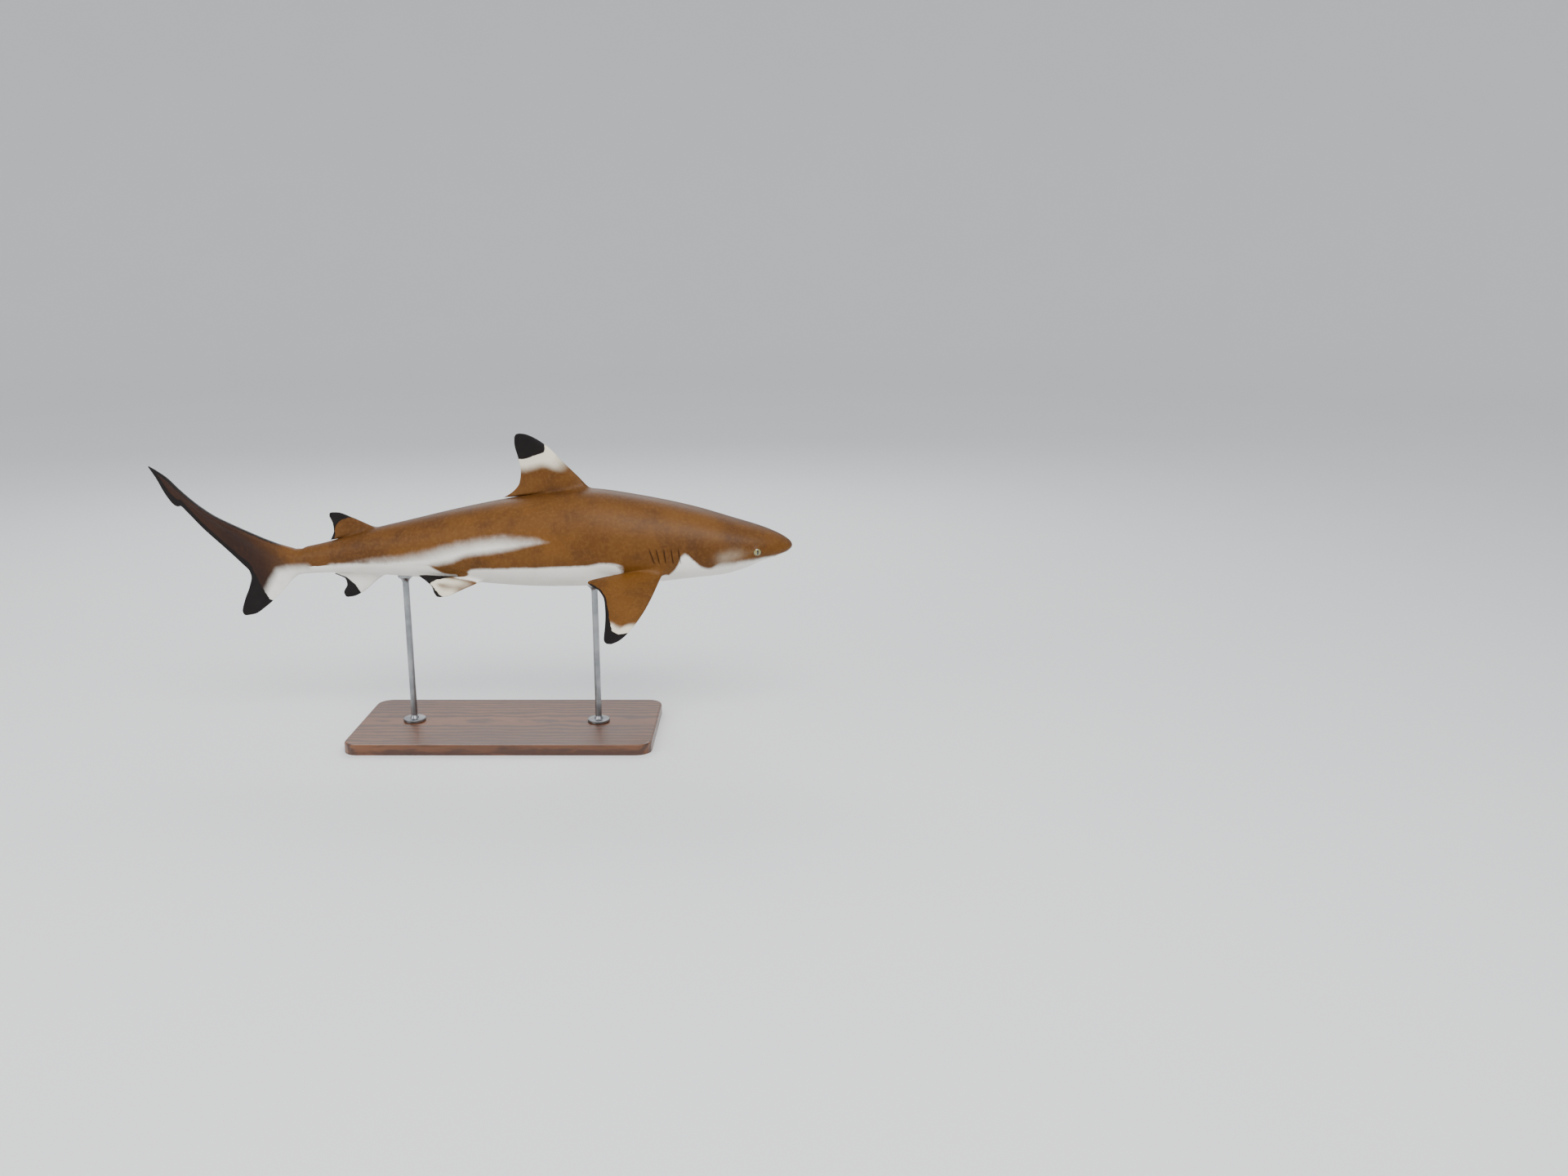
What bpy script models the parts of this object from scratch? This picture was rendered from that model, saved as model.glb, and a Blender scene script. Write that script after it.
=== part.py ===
"""Blacktip reef shark: a still, life-size display model on a stand.

Lengths are metres. The fish is described in its own frame: s runs aft from the tip of the snout, y to the
fish's left and h up from the level of the snout. place() gives the tail its slight sideways sweep and moves
the fish to the model's frame, where +X points ahead, +Z up, and z = 0 is the underside of the stand.
"""
from math import cos, pi, radians, sin

import bmesh
import bpy
import numpy as np

# ---- Driving dimensions ----
SNOUT_X = 0.6528        # tip of the snout, ahead of the model's middle
SNOUT_Z = 0.400         # level of the snout above the underside of the stand
GAP = 0.0003            # clearance between neighbouring pieces
CLEARANCE = 0.0004      # how far the body is enlarged to trim what meets it
RING = 30               # points round a ring of the body
RING_STEP = 0.030       # longest distance between rings of the body
SWEEP_START = 0.470     # the tail sweeps sideways behind this place
SWEEP_END = 1.307       # tip of the tail
SWEEP = 0.030           # sideways offset of the tip of the tail

# Body stations: s, back, belly, half width, height of the widest point, and how square the section is
# above and below that height (2 is an ellipse).
STATIONS = (
    (0.000, 0.0000, 0.0000, 0.0000, 0.0000, 2.0, 2.0),
    (0.008, 0.0122, -0.0110, 0.0215, -0.0014, 2.0, 2.1),
    (0.034, 0.0270, -0.0203, 0.0400, -0.0030, 2.1, 2.4),
    (0.072, 0.0415, -0.0335, 0.0550, -0.0042, 2.1, 2.5),
    (0.122, 0.0565, -0.0530, 0.0670, -0.0055, 2.1, 2.5),
    (0.182, 0.0745, -0.0620, 0.0760, -0.0070, 2.1, 2.4),
    (0.256, 0.0925, -0.0705, 0.0805, -0.0050, 2.0, 2.4),
    (0.338, 0.1075, -0.0785, 0.0850, -0.0010, 2.0, 2.3),
    (0.418, 0.1160, -0.0815, 0.0855, 0.0030, 2.0, 2.3),
    (0.513, 0.1062, -0.0830, 0.0815, 0.0030, 2.0, 2.2),
    (0.608, 0.0893, -0.0780, 0.0720, 0.0010, 2.0, 2.2),
    (0.702, 0.0690, -0.0700, 0.0590, -0.0020, 2.0, 2.2),
    (0.796, 0.0463, -0.0640, 0.0470, -0.0070, 2.0, 2.2),
    (0.878, 0.0255, -0.0602, 0.0360, -0.0150, 2.0, 2.2),
    (0.945, 0.0048, -0.0592, 0.0275, -0.0250, 2.1, 2.2),
    (1.006, -0.0085, -0.0630, 0.0210, -0.0350, 2.1, 2.2),
)

# Lengths of the body, each a piece of its own
SEGMENTS = (
    ("head", 0.000, 0.215),
    ("gill_region", 0.215, 0.352),
    ("trunk_front", 0.352, 0.600),
    ("trunk_rear", 0.600, 0.812),
    ("tail_stalk", 0.812, 0.990),
)

# Unpaired fins: share of the span, then (s, h) on the leading edge; the same down the rear, which starts
# at the insertion and goes by the free rear tip up to the apex. The last value is the root's half thickness.
MEDIAN_FINS = {
    "dorsal_fin_first": (
        ((0.0, 0.409, 0.117), (0.15, 0.427, 0.137), (0.35, 0.459, 0.169), (0.65, 0.490, 0.201),
         (0.88, 0.5225, 0.2218), (0.96, 0.537, 0.2263), (1.0, 0.5455, 0.2268)),
        ((0.0, 0.524, 0.1020), (0.10, 0.582, 0.0975), (0.22, 0.562, 0.110), (0.38, 0.5485, 0.128),
         (0.58, 0.545, 0.153), (0.75, 0.549, 0.177), (0.92, 0.5555, 0.208), (0.97, 0.555, 0.219),
         (1.0, 0.5515, 0.2252)),
        0.0090),
    "dorsal_fin_second": (
        ((0.0, 0.846, 0.034), (0.45, 0.892, 0.055), (0.85, 0.923, 0.0655), (1.0, 0.933, 0.0655)),
        ((0.0, 0.912, 0.013), (0.18, 0.9410, 0.0080), (0.45, 0.9325, 0.0270), (0.75, 0.934, 0.045),
         (0.93, 0.940, 0.059), (1.0, 0.938, 0.064)),
        0.0050),
    "anal_fin": (
        ((0.0, 0.829, -0.059), (0.20, 0.8525, -0.0765), (0.45, 0.8765, -0.0970), (0.85, 0.9025, -0.1100),
         (1.0, 0.9135, -0.1115)),
        ((0.0, 0.906, -0.058), (0.18, 0.9385, -0.0618), (0.38, 0.9165, -0.0720), (0.65, 0.9135, -0.0850),
         (0.93, 0.9215, -0.1030), (1.0, 0.9175, -0.1105)),
        0.0050),
}

# Paired fins: root (s, y, h), droop below level in degrees, rise towards the rear in degrees, then the
# outline as above with (aft, outward) in the fin's own plane, and the root's half thickness.
PAIRED_FINS = {
    "pectoral_fin": (
        (0.264, 0.072, -0.045), 27, 0,
        ((0.0, -0.004, 0.004), (0.35, 0.012, 0.074), (0.6, 0.025, 0.118), (0.85, 0.051, 0.1765),
         (0.95, 0.0655, 0.1955), (1.0, 0.077, 0.2025)),
        ((0.0, 0.073, -0.004), (0.12, 0.141, 0.024), (0.25, 0.116, 0.050), (0.4, 0.103, 0.078),
         (0.7, 0.0945, 0.148), (0.92, 0.093, 0.188), (0.97, 0.0905, 0.1975), (1.0, 0.086, 0.202)),
        0.0085),
    "pelvic_fin": (
        (0.623, 0.043, -0.064), 38, 5.5,
        ((0.0, -0.003, 0.000), (0.5, 0.036, 0.0285), (0.85, 0.063, 0.0480), (1.0, 0.077, 0.0525)),
        ((0.0, 0.044, -0.002), (0.15, 0.128, 0.003), (0.4, 0.111, 0.0165), (0.65, 0.0975, 0.029),
         (0.9, 0.090, 0.0445), (1.0, 0.084, 0.0520)),
        0.0050),
}

# Tail fin rows from its upper edge to its lower edge: upper s, h, lower s, h, half thickness
TAIL_ROWS = (
    (0.990, -0.0060, 0.990, -0.0615, 0.0222),
    (1.013, -0.0112, 1.006, -0.0632, 0.0195),
    (1.022, -0.0090, 1.024, -0.0730, 0.0170),
    (1.030, -0.0068, 1.049, -0.1000, 0.0150),
    (1.038, -0.0046, 1.084, -0.1315, 0.0135),
    (1.045, -0.0026, 1.112, -0.1500, 0.0127),
    (1.050, -0.0010, 1.132, -0.1535, 0.0120),
    (1.055, 0.0008, 1.138, -0.1440, 0.0115),
    (1.059, 0.0022, 1.131, -0.1210, 0.0111),
    (1.064, 0.0042, 1.119, -0.0940, 0.0107),
    (1.078, 0.0096, 1.1125, -0.0720, 0.0101),
    (1.102, 0.0200, 1.1155, -0.0590, 0.0091),
    (1.140, 0.0370, 1.129, -0.0440, 0.0078),
    (1.182, 0.0580, 1.1605, -0.0125, 0.0065),
    (1.215, 0.0815, 1.2015, 0.0265, 0.0054),
    (1.243, 0.1065, 1.2425, 0.0695, 0.0042),
    (1.251, 0.1145, 1.259, 0.0765, 0.0038),
    (1.269, 0.1330, 1.2755, 0.0980, 0.0030),
    (1.292, 0.1490, 1.2925, 0.1325, 0.0018),
    (1.305, 0.1565, 1.3055, 0.1540, 0.0008),
)
LOBE_SPLIT_H = -0.0655  # the lower lobe is parted from the upper along this level
TAIL_STEPS = 2          # rings from one tail row to the next

FIN_EDGE = 0.0005       # half thickness of a fin's edge
FIN_ROWS = 10           # rings from root to tip of a fin
FIN_SIDE = 7            # points along each side of a fin's section
ROOT_SINK = 0.018       # how far a fin's root reaches into the body before it is trimmed

EYE_S, EYE_H = 0.070, -0.0035
EYE_R = 0.0120
EYE_PROUD = 0.0035      # how far the eyeball stands out of the head

JAW_FRONT, JAW_CORNER = 0.060, 0.134
JAW_HALF_W = 0.052
JAW_ROOF = -0.020
JAW_FLOOR = -0.120

SLIT_S = (0.2229, 0.2373, 0.2520, 0.2656, 0.2775)    # middles of the gill slits
SLIT_LEANS = (8, 8, 6, 12, 19)                       # degrees forward at the bottom
SLIT_H = -0.008
SLIT_LENGTH = 0.034
SLIT_WIDTH = 0.0012
SLIT_DEPTH = 0.0040

BASE_SIZE = (0.620, 0.290, 0.022)
BASE_X = 0.060
BASE_CORNER = 0.030
BASE_EDGE = 0.004
ROD_S = (0.405, 0.792)  # where the rods meet the belly
ROD_R = 0.0065
FLANGE_R, FLANGE_H = 0.0230, 0.0060
SADDLE_R, SADDLE_H = 0.0150, 0.0160

# name: colour, roughness, metallic
MATERIALS = {
    "skin": ((0.36, 0.21, 0.09), 0.45, 0.0),
    "fin_skin": ((0.30, 0.17, 0.08), 0.45, 0.0),
    "jaw_skin": ((0.74, 0.71, 0.64), 0.45, 0.0),
    "eye": ((0.52, 0.50, 0.30), 0.08, 0.0),
    "stand_wood": ((0.16, 0.08, 0.04), 0.35, 0.0),
    "stand_steel": ((0.55, 0.55, 0.56), 0.30, 1.0),
}


# ---- Curves and frames ----
def natural_spline(knots, values):
    """Smoothest curve through the values, as a function of the knot variable."""
    x = np.asarray(knots, float)
    y = np.asarray(values, float)
    n = len(x)
    h = np.diff(x)
    a = np.eye(n)
    r = np.zeros_like(y)
    for i in range(1, n - 1):
        a[i, i - 1:i + 2] = h[i - 1], 2 * (h[i - 1] + h[i]), h[i]
        r[i] = 6 * ((y[i + 1] - y[i]) / h[i] - (y[i] - y[i - 1]) / h[i - 1])
    m = np.linalg.solve(a, r)

    def at(t):
        i = int(np.clip(np.searchsorted(x, t, side="right") - 1, 0, n - 2))
        p, q, w = t - x[i], x[i + 1] - t, h[i]
        cubic = (m[i] * q ** 3 + m[i + 1] * p ** 3) / (6 * w)
        return cubic + (y[i] / w - m[i] * w / 6) * q + (y[i + 1] / w - m[i + 1] * w / 6) * p
    return at


def steady_curve(knots, values):
    """Smooth curve through the values that doesn't overshoot them, for outlines with tight turns."""
    x = np.asarray(knots, float)
    y = np.asarray(values, float)
    h = np.diff(x)[:, None]
    slope = np.diff(y, axis=0) / h
    tangent = np.zeros_like(y)
    tangent[0], tangent[-1] = slope[0], slope[-1]
    before, after = slope[:-1], slope[1:]
    same = before * after > 0
    total = np.where(same, before + after, 1.0)
    tangent[1:-1] = np.where(same, 2 * before * after / total, 0.0)

    def at(t):
        i = int(np.clip(np.searchsorted(x, t, side="right") - 1, 0, len(x) - 2))
        w = x[i + 1] - x[i]
        u = (t - x[i]) / w
        return ((1 + 2 * u) * (1 - u) ** 2 * y[i] + u * (1 - u) ** 2 * w * tangent[i]
                + u * u * (3 - 2 * u) * y[i + 1] + u * u * (u - 1) * w * tangent[i + 1])
    return at


_stations = np.array(STATIONS)
_profile = natural_spline(np.sqrt(_stations[:, 0]), _stations[:, 1:])


def section_point(s, angle, grow=0.0):
    """Point of the body's surface at s, angle from the top towards the fish's left, as (s, y, h)."""
    back, belly, half_w, widest, n_back, n_belly = _profile(s ** 0.5)
    half_w = half_w + grow
    half_h = (back - widest if cos(angle) > 0 else widest - belly) + grow
    mix = min(max(4 * cos(angle), -1), 1) / 2 + 0.5
    n = n_belly + (n_back - n_belly) * mix
    r = ((abs(sin(angle)) / half_w) ** n + (abs(cos(angle)) / half_h) ** n) ** (-1 / n)
    return np.array((s, r * sin(angle), widest + r * cos(angle)))


def place(p):
    """From the fish's frame to the model's."""
    s, y, h = p
    reach = max(s - SWEEP_START, 0.0) / (SWEEP_END - SWEEP_START)
    middle = SWEEP * reach ** 2
    turn = np.arctan(2 * SWEEP * reach / (SWEEP_END - SWEEP_START))
    return SNOUT_X - s + y * sin(turn), middle + y * cos(turn), SNOUT_Z + h


def surface_frame(s, h, side):
    """Point of the flank at s and height h on one side (+1 left, -1 right), with its outward normal."""
    lo, hi = radians(10), radians(170)
    while hi - lo > 1e-6:
        mid = (lo + hi) / 2
        if section_point(s, mid)[2] > h:
            lo = mid
        else:
            hi = mid
    angle = side * lo
    p = np.array(place(section_point(s, angle)))
    along = np.array(place(section_point(s + 1e-4, angle))) - p
    round_ = np.array(place(section_point(s, angle + 1e-4))) - p
    normal = np.cross(along, round_)
    normal /= np.linalg.norm(normal)
    if normal[1] * side < 0:
        normal = -normal
    return p, normal


# ---- Meshes ----
def material(name):
    found = bpy.data.materials.get(name)
    if found:
        return found
    colour, roughness, metallic = MATERIALS[name]
    made = bpy.data.materials.new(name)
    made.use_nodes = True
    shader = made.node_tree.nodes["Principled BSDF"]
    shader.inputs["Base Color"].default_value = (*colour, 1.0)
    shader.inputs["Roughness"].default_value = roughness
    shader.inputs["Metallic"].default_value = metallic
    made.diffuse_color = (*colour, 1.0)
    return made


def add_object(name, bm, slot=None):
    """Closes a bmesh into an object; one with no material is a cutter."""
    bmesh.ops.recalc_face_normals(bm, faces=bm.faces)
    if bm.calc_volume(signed=True) < 0:
        bmesh.ops.reverse_faces(bm, faces=bm.faces)
    mesh = bpy.data.meshes.new(name)
    bm.to_mesh(mesh)
    bm.free()
    mesh.shade_smooth()
    mesh.set_sharp_from_angle(angle=radians(40))
    ob = bpy.data.objects.new(name, mesh)
    bpy.context.collection.objects.link(ob)
    if slot:
        mesh.materials.append(material(slot))
    else:
        ob.hide_render = True
        ob.display_type = "WIRE"
    return ob


def loft(name, rings, slot=None, nose=None):
    """Skin over closed rings of points, capped at both ends; a nose point closes the first end."""
    bm = bmesh.new()
    loops = [[bm.verts.new(p) for p in ring] for ring in rings]
    count = len(loops[0])
    for a, b in zip(loops, loops[1:]):
        for i in range(count):
            j = (i + 1) % count
            bm.faces.new((a[i], a[j], b[j], b[i]))
    if nose is None:
        bm.faces.new(loops[0])
    else:
        tip = bm.verts.new(nose)
        for i in range(count):
            bm.faces.new((tip, loops[0][i], loops[0][(i + 1) % count]))
    bm.faces.new(loops[-1])
    return add_object(name, bm, slot)


def boolean(target, cutter, operation="DIFFERENCE"):
    step = target.modifiers.new(cutter.name, "BOOLEAN")
    step.operation = operation
    step.solver = "EXACT"
    step.object = cutter


# ---- Body ----
def ring_places(start, end):
    """Places of the rings from start to end, closer together on the snout."""
    first = 0.0012
    if start == 0:
        count = 10
        snout = [first + (0.060 - first) * (i / count) ** 1.6 for i in range(count)]
        return snout + ring_places(0.060, end)
    count = int(np.ceil((end - start) / RING_STEP))
    return list(np.linspace(start, end, count + 1))


def body_rings(places, grow=0.0):
    angles = [2 * pi * i / RING for i in range(RING)]
    return [[place(section_point(s, a, grow)) for a in angles] for s in places]


def body_segment(name, start, end):
    front = start + GAP / 2 if start else start
    places = ring_places(front, end - GAP / 2)
    nose = None if start else place((0.0, 0.0, 0.0))
    return loft(name, body_rings(places), "skin", nose)


def body_clearance():
    """The whole body a little enlarged, to trim the roots of the fins and the heads of the rods."""
    places = []
    for _, start, end in SEGMENTS:
        places += ring_places(start, end)[:-1]
    places.append(SEGMENTS[-1][2])
    return loft("body_clearance", body_rings(places, CLEARANCE), nose=place((-CLEARANCE, 0.0, 0.0)))


# ---- Fins ----
def foil(c):
    """Share of the full thickness at c of the way from leading to trailing edge."""
    return 2.6 * c ** 0.5 * (1 - c)


def blade_ring(lead, rear, across, half_thickness):
    """Closed section of a fin from its leading edge to its rear edge, blunt at both."""
    shares = [(1 - cos(pi * i / (FIN_SIDE - 1))) / 2 for i in range(FIN_SIDE)]
    ring = []
    for side in (1, -1):
        for c in shares if side > 0 else reversed(shares):
            t = FIN_EDGE + max(half_thickness - FIN_EDGE, 0) * foil(c)
            ring.append(place(lead + (rear - lead) * c + across * side * t))
    return ring


def fin(name, lead_at, rear_at, sink, across, root_thickness, clearance):
    """Blade between its two edge curves, with its root sunk into the body and trimmed to it."""
    rings = [blade_ring(lead_at(0) + sink, rear_at(0) + sink, across, root_thickness)]
    for i in range(FIN_ROWS + 1):
        t = (i / FIN_ROWS) ** 1.15
        thickness = root_thickness * (1 - t) + 0.0008
        rings.append(blade_ring(lead_at(t), rear_at(t), across, thickness))
    ob = loft(name, rings, "fin_skin")
    boolean(ob, clearance)


def median_fin(name, clearance):
    lead, rear, thickness = MEDIAN_FINS[name]
    up = 1 if lead[-1][2] > lead[0][2] else -1

    def edge(points):
        table = np.array(points)
        curve = steady_curve(table[:, 0], table[:, 1:])
        return lambda t: np.array((curve(t)[0], 0.0, curve(t)[1]))
    sink = np.array((0.0, 0.0, -up * ROOT_SINK))
    fin(name, edge(lead), edge(rear), sink, np.array((0.0, 1.0, 0.0)), thickness, clearance)


def paired_fin(name, clearance):
    root, droop, rise, lead, rear, thickness = PAIRED_FINS[name]
    for side, label in ((1, "left"), (-1, "right")):
        origin = np.array((root[0], side * root[1], root[2]))
        aft = np.array((cos(radians(rise)), 0.0, sin(radians(rise))))
        out = np.array((0.0, side * cos(radians(droop)), -sin(radians(droop))))
        across = np.cross(aft, out)

        def edge(points):
            table = np.array(points)
            curve = steady_curve(table[:, 0], table[:, 1:])
            return lambda t: origin + aft * curve(t)[0] + out * curve(t)[1]
        fin(name + "_" + label, edge(lead), edge(rear), -out * ROOT_SINK, across, thickness, clearance)


def tail_thickness(depth, full_depth, core, blend):
    """Half thickness of the tail at a depth below its upper edge: a round core fading to a thin web."""
    centre = full_depth / 2
    stalk = core * max(1 - ((depth - centre) / centre) ** 2, 0) ** 0.5
    crest = min(1.2 * core, centre)
    if depth < crest:
        lobe = core * (1 - (1 - depth / crest) ** 2) ** 0.5
    else:
        lobe = core * np.exp(-((depth - crest) / (2.1 * core)) ** 2)
    return FIN_EDGE + (stalk * (1 - blend) + lobe * blend)


def tail_rings():
    table = np.array(TAIL_ROWS)
    rows = steady_curve(range(len(table)), table)
    rings = []
    count = (len(table) - 1) * TAIL_STEPS
    shares = [(1 - cos(pi * i / 8)) / 2 for i in range(9)]
    for k in range(count + 1):
        t = k / TAIL_STEPS
        s_up, h_up, s_low, h_low, core = rows(t)
        if k == 0:
            s_up = s_low = s_up + GAP / 2
        depth = np.hypot(s_low - s_up, h_low - h_up)
        blend = min(t / 3, 1)
        ring = []
        for side in (1, -1):
            for v in shares if side > 0 else reversed(shares):
                y = side * tail_thickness(v * depth, depth, core, blend)
                ring.append(place((s_up + (s_low - s_up) * v, y, h_up + (h_low - h_up) * v)))
        rings.append(ring)
    return rings


def box(name, low, high):
    """Cutter with corners given in the fish's frame, on the swept middle plane."""
    bm = bmesh.new()
    bmesh.ops.create_cube(bm, size=1.0)
    for v in bm.verts:
        share = np.array(v.co) + 0.5
        v.co = place(np.array(low) + (np.array(high) - np.array(low)) * share)
    return add_object(name, bm)


def tail_fin():
    low, high = (0.985, -0.060, -0.200), (1.200, 0.060, LOBE_SPLIT_H)
    upper = loft("caudal_fin_upper", tail_rings(), "fin_skin")
    lower = loft("caudal_fin_lower", tail_rings(), "fin_skin")
    boolean(upper, box("lobe_above", low, high))
    boolean(lower, box("lobe_below", low, (high[0], high[1], LOBE_SPLIT_H - GAP)), "INTERSECT")


# ---- Head ----
def ball(name, centre, radius, slot=None):
    bm = bmesh.new()
    bmesh.ops.create_uvsphere(bm, u_segments=16, v_segments=10, radius=radius)
    for v in bm.verts:
        v.co = v.co + type(v.co)(centre)
    return add_object(name, bm, slot)


def eyes(head):
    for side, label in ((1, "left"), (-1, "right")):
        p, normal = surface_frame(EYE_S, EYE_H, side)
        centre = p - normal * (EYE_R - EYE_PROUD)
        ball("eye_" + label, centre, EYE_R, "eye")
        boolean(head, ball("eye_socket_" + label, centre, EYE_R + GAP))


def jaw_block(name, shrink):
    """Upright block with the mouth's arched outline, seen from below."""
    half_w = JAW_HALF_W - shrink
    front, rear = JAW_FRONT + shrink, JAW_CORNER - shrink
    count = 16
    outline = []
    for i in range(count + 1):
        y = half_w * (2 * i / count - 1)
        outline.append((front + (rear - front) * (y / half_w) ** 2, y))
    bm = bmesh.new()
    floor = [bm.verts.new(place((s, y, JAW_FLOOR))) for s, y in outline]
    roof = [bm.verts.new(place((s, y, JAW_ROOF - shrink))) for s, y in outline]
    bm.faces.new(floor)
    bm.faces.new(roof)
    for i in range(len(outline)):
        j = (i + 1) % len(outline)
        bm.faces.new((floor[i], floor[j], roof[j], roof[i]))
    return add_object(name, bm)


def lower_jaw(head):
    _, start, end = SEGMENTS[0]
    jaw = loft("lower_jaw", body_rings(ring_places(start, end)), "jaw_skin", place((0.0, 0.0, 0.0)))
    boolean(jaw, jaw_block("jaw_inner", GAP), "INTERSECT")
    boolean(head, jaw_block("jaw_outer", 0.0))


# ---- Gills ----
def gill_slits(region):
    """Five upright grooves on each flank, leaning forward at the bottom."""
    for side in (1, -1):
        for i, (s, lean) in enumerate(zip(SLIT_S, SLIT_LEANS)):
            p, normal = surface_frame(s, SLIT_H, side)
            up = np.array((-sin(radians(lean)), 0.0, cos(radians(lean))))
            up = up - normal * np.dot(up, normal)
            up /= np.linalg.norm(up)
            along = np.cross(up, normal)
            bm = bmesh.new()
            bmesh.ops.create_cube(bm, size=1.0)
            for v in bm.verts:
                offset = (along * v.co.x * SLIT_WIDTH + normal * v.co.y * 2 * SLIT_DEPTH
                          + up * v.co.z * SLIT_LENGTH)
                v.co = p + offset
            boolean(region, add_object("slit_%d_%s" % (i + 1, "left" if side > 0 else "right"), bm))


# ---- Stand ----
def stand_base():
    bm = bmesh.new()
    bmesh.ops.create_cube(bm, size=1.0)
    for v in bm.verts:
        v.co = (BASE_X + v.co.x * BASE_SIZE[0], v.co.y * BASE_SIZE[1], (v.co.z + 0.5) * BASE_SIZE[2])
    upright = [e for e in bm.edges if abs(e.verts[0].co.z - e.verts[1].co.z) > BASE_SIZE[2] / 2]
    bmesh.ops.bevel(bm, geom=upright, offset=BASE_CORNER, segments=5, profile=0.5, affect="EDGES")
    top = [f for f in bm.faces if f.normal.z > 0.9]
    rim = [e for e in top[0].edges]
    bmesh.ops.bevel(bm, geom=rim, offset=BASE_EDGE, segments=3, profile=0.5, affect="EDGES")
    add_object("stand_base", bm, "stand_wood")


def stand_rod(name, s, clearance):
    """Turned rod with a flange on the base and a flared saddle under the belly."""
    x, y, belly = place(section_point(s, pi))
    foot = BASE_SIZE[2] + GAP
    head = belly + 0.010
    flare = belly - SADDLE_H
    profile = [(FLANGE_R - 0.001, foot), (FLANGE_R, foot + 0.001), (FLANGE_R, foot + FLANGE_H - 0.001),
               (FLANGE_R - 0.001, foot + FLANGE_H), (ROD_R + 0.003, foot + FLANGE_H), (ROD_R, foot + 0.012)]
    for i in range(6):
        share = i / 5
        profile.append((ROD_R + (SADDLE_R - ROD_R) * share ** 2, flare + SADDLE_H * 0.8 * share))
    profile.append((SADDLE_R, head))
    count = 18
    rings = []
    for radius, z in profile:
        turns = [2 * pi * i / count for i in range(count)]
        rings.append([(x + radius * cos(a), y + radius * sin(a), z) for a in turns])
    boolean(loft(name, rings, "stand_steel"), clearance)


def main():
    for ob in list(bpy.data.objects):
        bpy.data.objects.remove(ob)
    pieces = {name: body_segment(name, start, end) for name, start, end in SEGMENTS}
    clearance = body_clearance()
    eyes(pieces["head"])
    lower_jaw(pieces["head"])
    gill_slits(pieces["gill_region"])
    for name in MEDIAN_FINS:
        median_fin(name, clearance)
    for name in PAIRED_FINS:
        paired_fin(name, clearance)
    tail_fin()
    stand_base()
    stand_rod("stand_rod_front", ROD_S[0], clearance)
    stand_rod("stand_rod_rear", ROD_S[1], clearance)


main()
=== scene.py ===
"""Blacktip reef shark on its stand: one skin over the whole fish, its eyes, the stand's finishes,
the floor, the lights and the camera.

Lengths are metres. The fish is described in its own frame: s runs aft from the tip of the snout, y to the
fish's left and h up from the level of the snout. place() gives the tail its sideways sweep and moves the
fish to the model's frame, where +X points ahead and z = 0 is the underside of the stand.
"""
from math import cos, pi, radians, sin
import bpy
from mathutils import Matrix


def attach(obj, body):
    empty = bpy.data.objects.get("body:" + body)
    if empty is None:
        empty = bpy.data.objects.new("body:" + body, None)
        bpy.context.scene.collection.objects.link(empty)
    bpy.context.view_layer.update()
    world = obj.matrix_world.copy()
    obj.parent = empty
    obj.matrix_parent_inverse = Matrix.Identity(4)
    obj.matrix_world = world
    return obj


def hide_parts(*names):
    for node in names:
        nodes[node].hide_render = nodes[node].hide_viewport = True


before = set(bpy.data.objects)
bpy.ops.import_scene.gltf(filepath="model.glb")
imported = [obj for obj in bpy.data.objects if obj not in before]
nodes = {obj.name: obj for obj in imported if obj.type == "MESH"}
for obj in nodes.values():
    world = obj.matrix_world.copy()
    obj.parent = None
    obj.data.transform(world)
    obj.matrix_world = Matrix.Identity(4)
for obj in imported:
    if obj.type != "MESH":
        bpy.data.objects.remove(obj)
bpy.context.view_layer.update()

from types import SimpleNamespace

import bmesh
import bpy
import numpy as np
from mathutils import Vector

# ---- Driving dimensions of the fish ----
SNOUT_X = 0.6528
SNOUT_Z = 0.400
SWEEP_START = 0.470
SWEEP_END = 1.307
SWEEP = 0.030

# Body stations: s, back, belly, half width, height of the widest point, and how square the section is
# above and below that height (2 is an ellipse).
STATIONS = (
    (0.000, 0.0000, 0.0000, 0.0000, 0.0000, 2.0, 2.0),
    (0.008, 0.0122, -0.0110, 0.0215, -0.0014, 2.0, 2.1),
    (0.034, 0.0270, -0.0203, 0.0400, -0.0030, 2.1, 2.4),
    (0.072, 0.0415, -0.0335, 0.0550, -0.0042, 2.1, 2.5),
    (0.122, 0.0565, -0.0530, 0.0670, -0.0055, 2.1, 2.5),
    (0.182, 0.0745, -0.0620, 0.0760, -0.0070, 2.1, 2.4),
    (0.256, 0.0925, -0.0705, 0.0805, -0.0050, 2.0, 2.4),
    (0.338, 0.1075, -0.0785, 0.0850, -0.0010, 2.0, 2.3),
    (0.418, 0.1160, -0.0815, 0.0855, 0.0030, 2.0, 2.3),
    (0.513, 0.1062, -0.0830, 0.0815, 0.0030, 2.0, 2.2),
    (0.608, 0.0893, -0.0780, 0.0720, 0.0010, 2.0, 2.2),
    (0.702, 0.0690, -0.0700, 0.0590, -0.0020, 2.0, 2.2),
    (0.796, 0.0463, -0.0640, 0.0470, -0.0070, 2.0, 2.2),
    (0.878, 0.0255, -0.0602, 0.0360, -0.0150, 2.0, 2.2),
    (0.945, 0.0048, -0.0592, 0.0275, -0.0250, 2.1, 2.2),
    (1.006, -0.0085, -0.0630, 0.0210, -0.0350, 2.1, 2.2),
)

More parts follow.
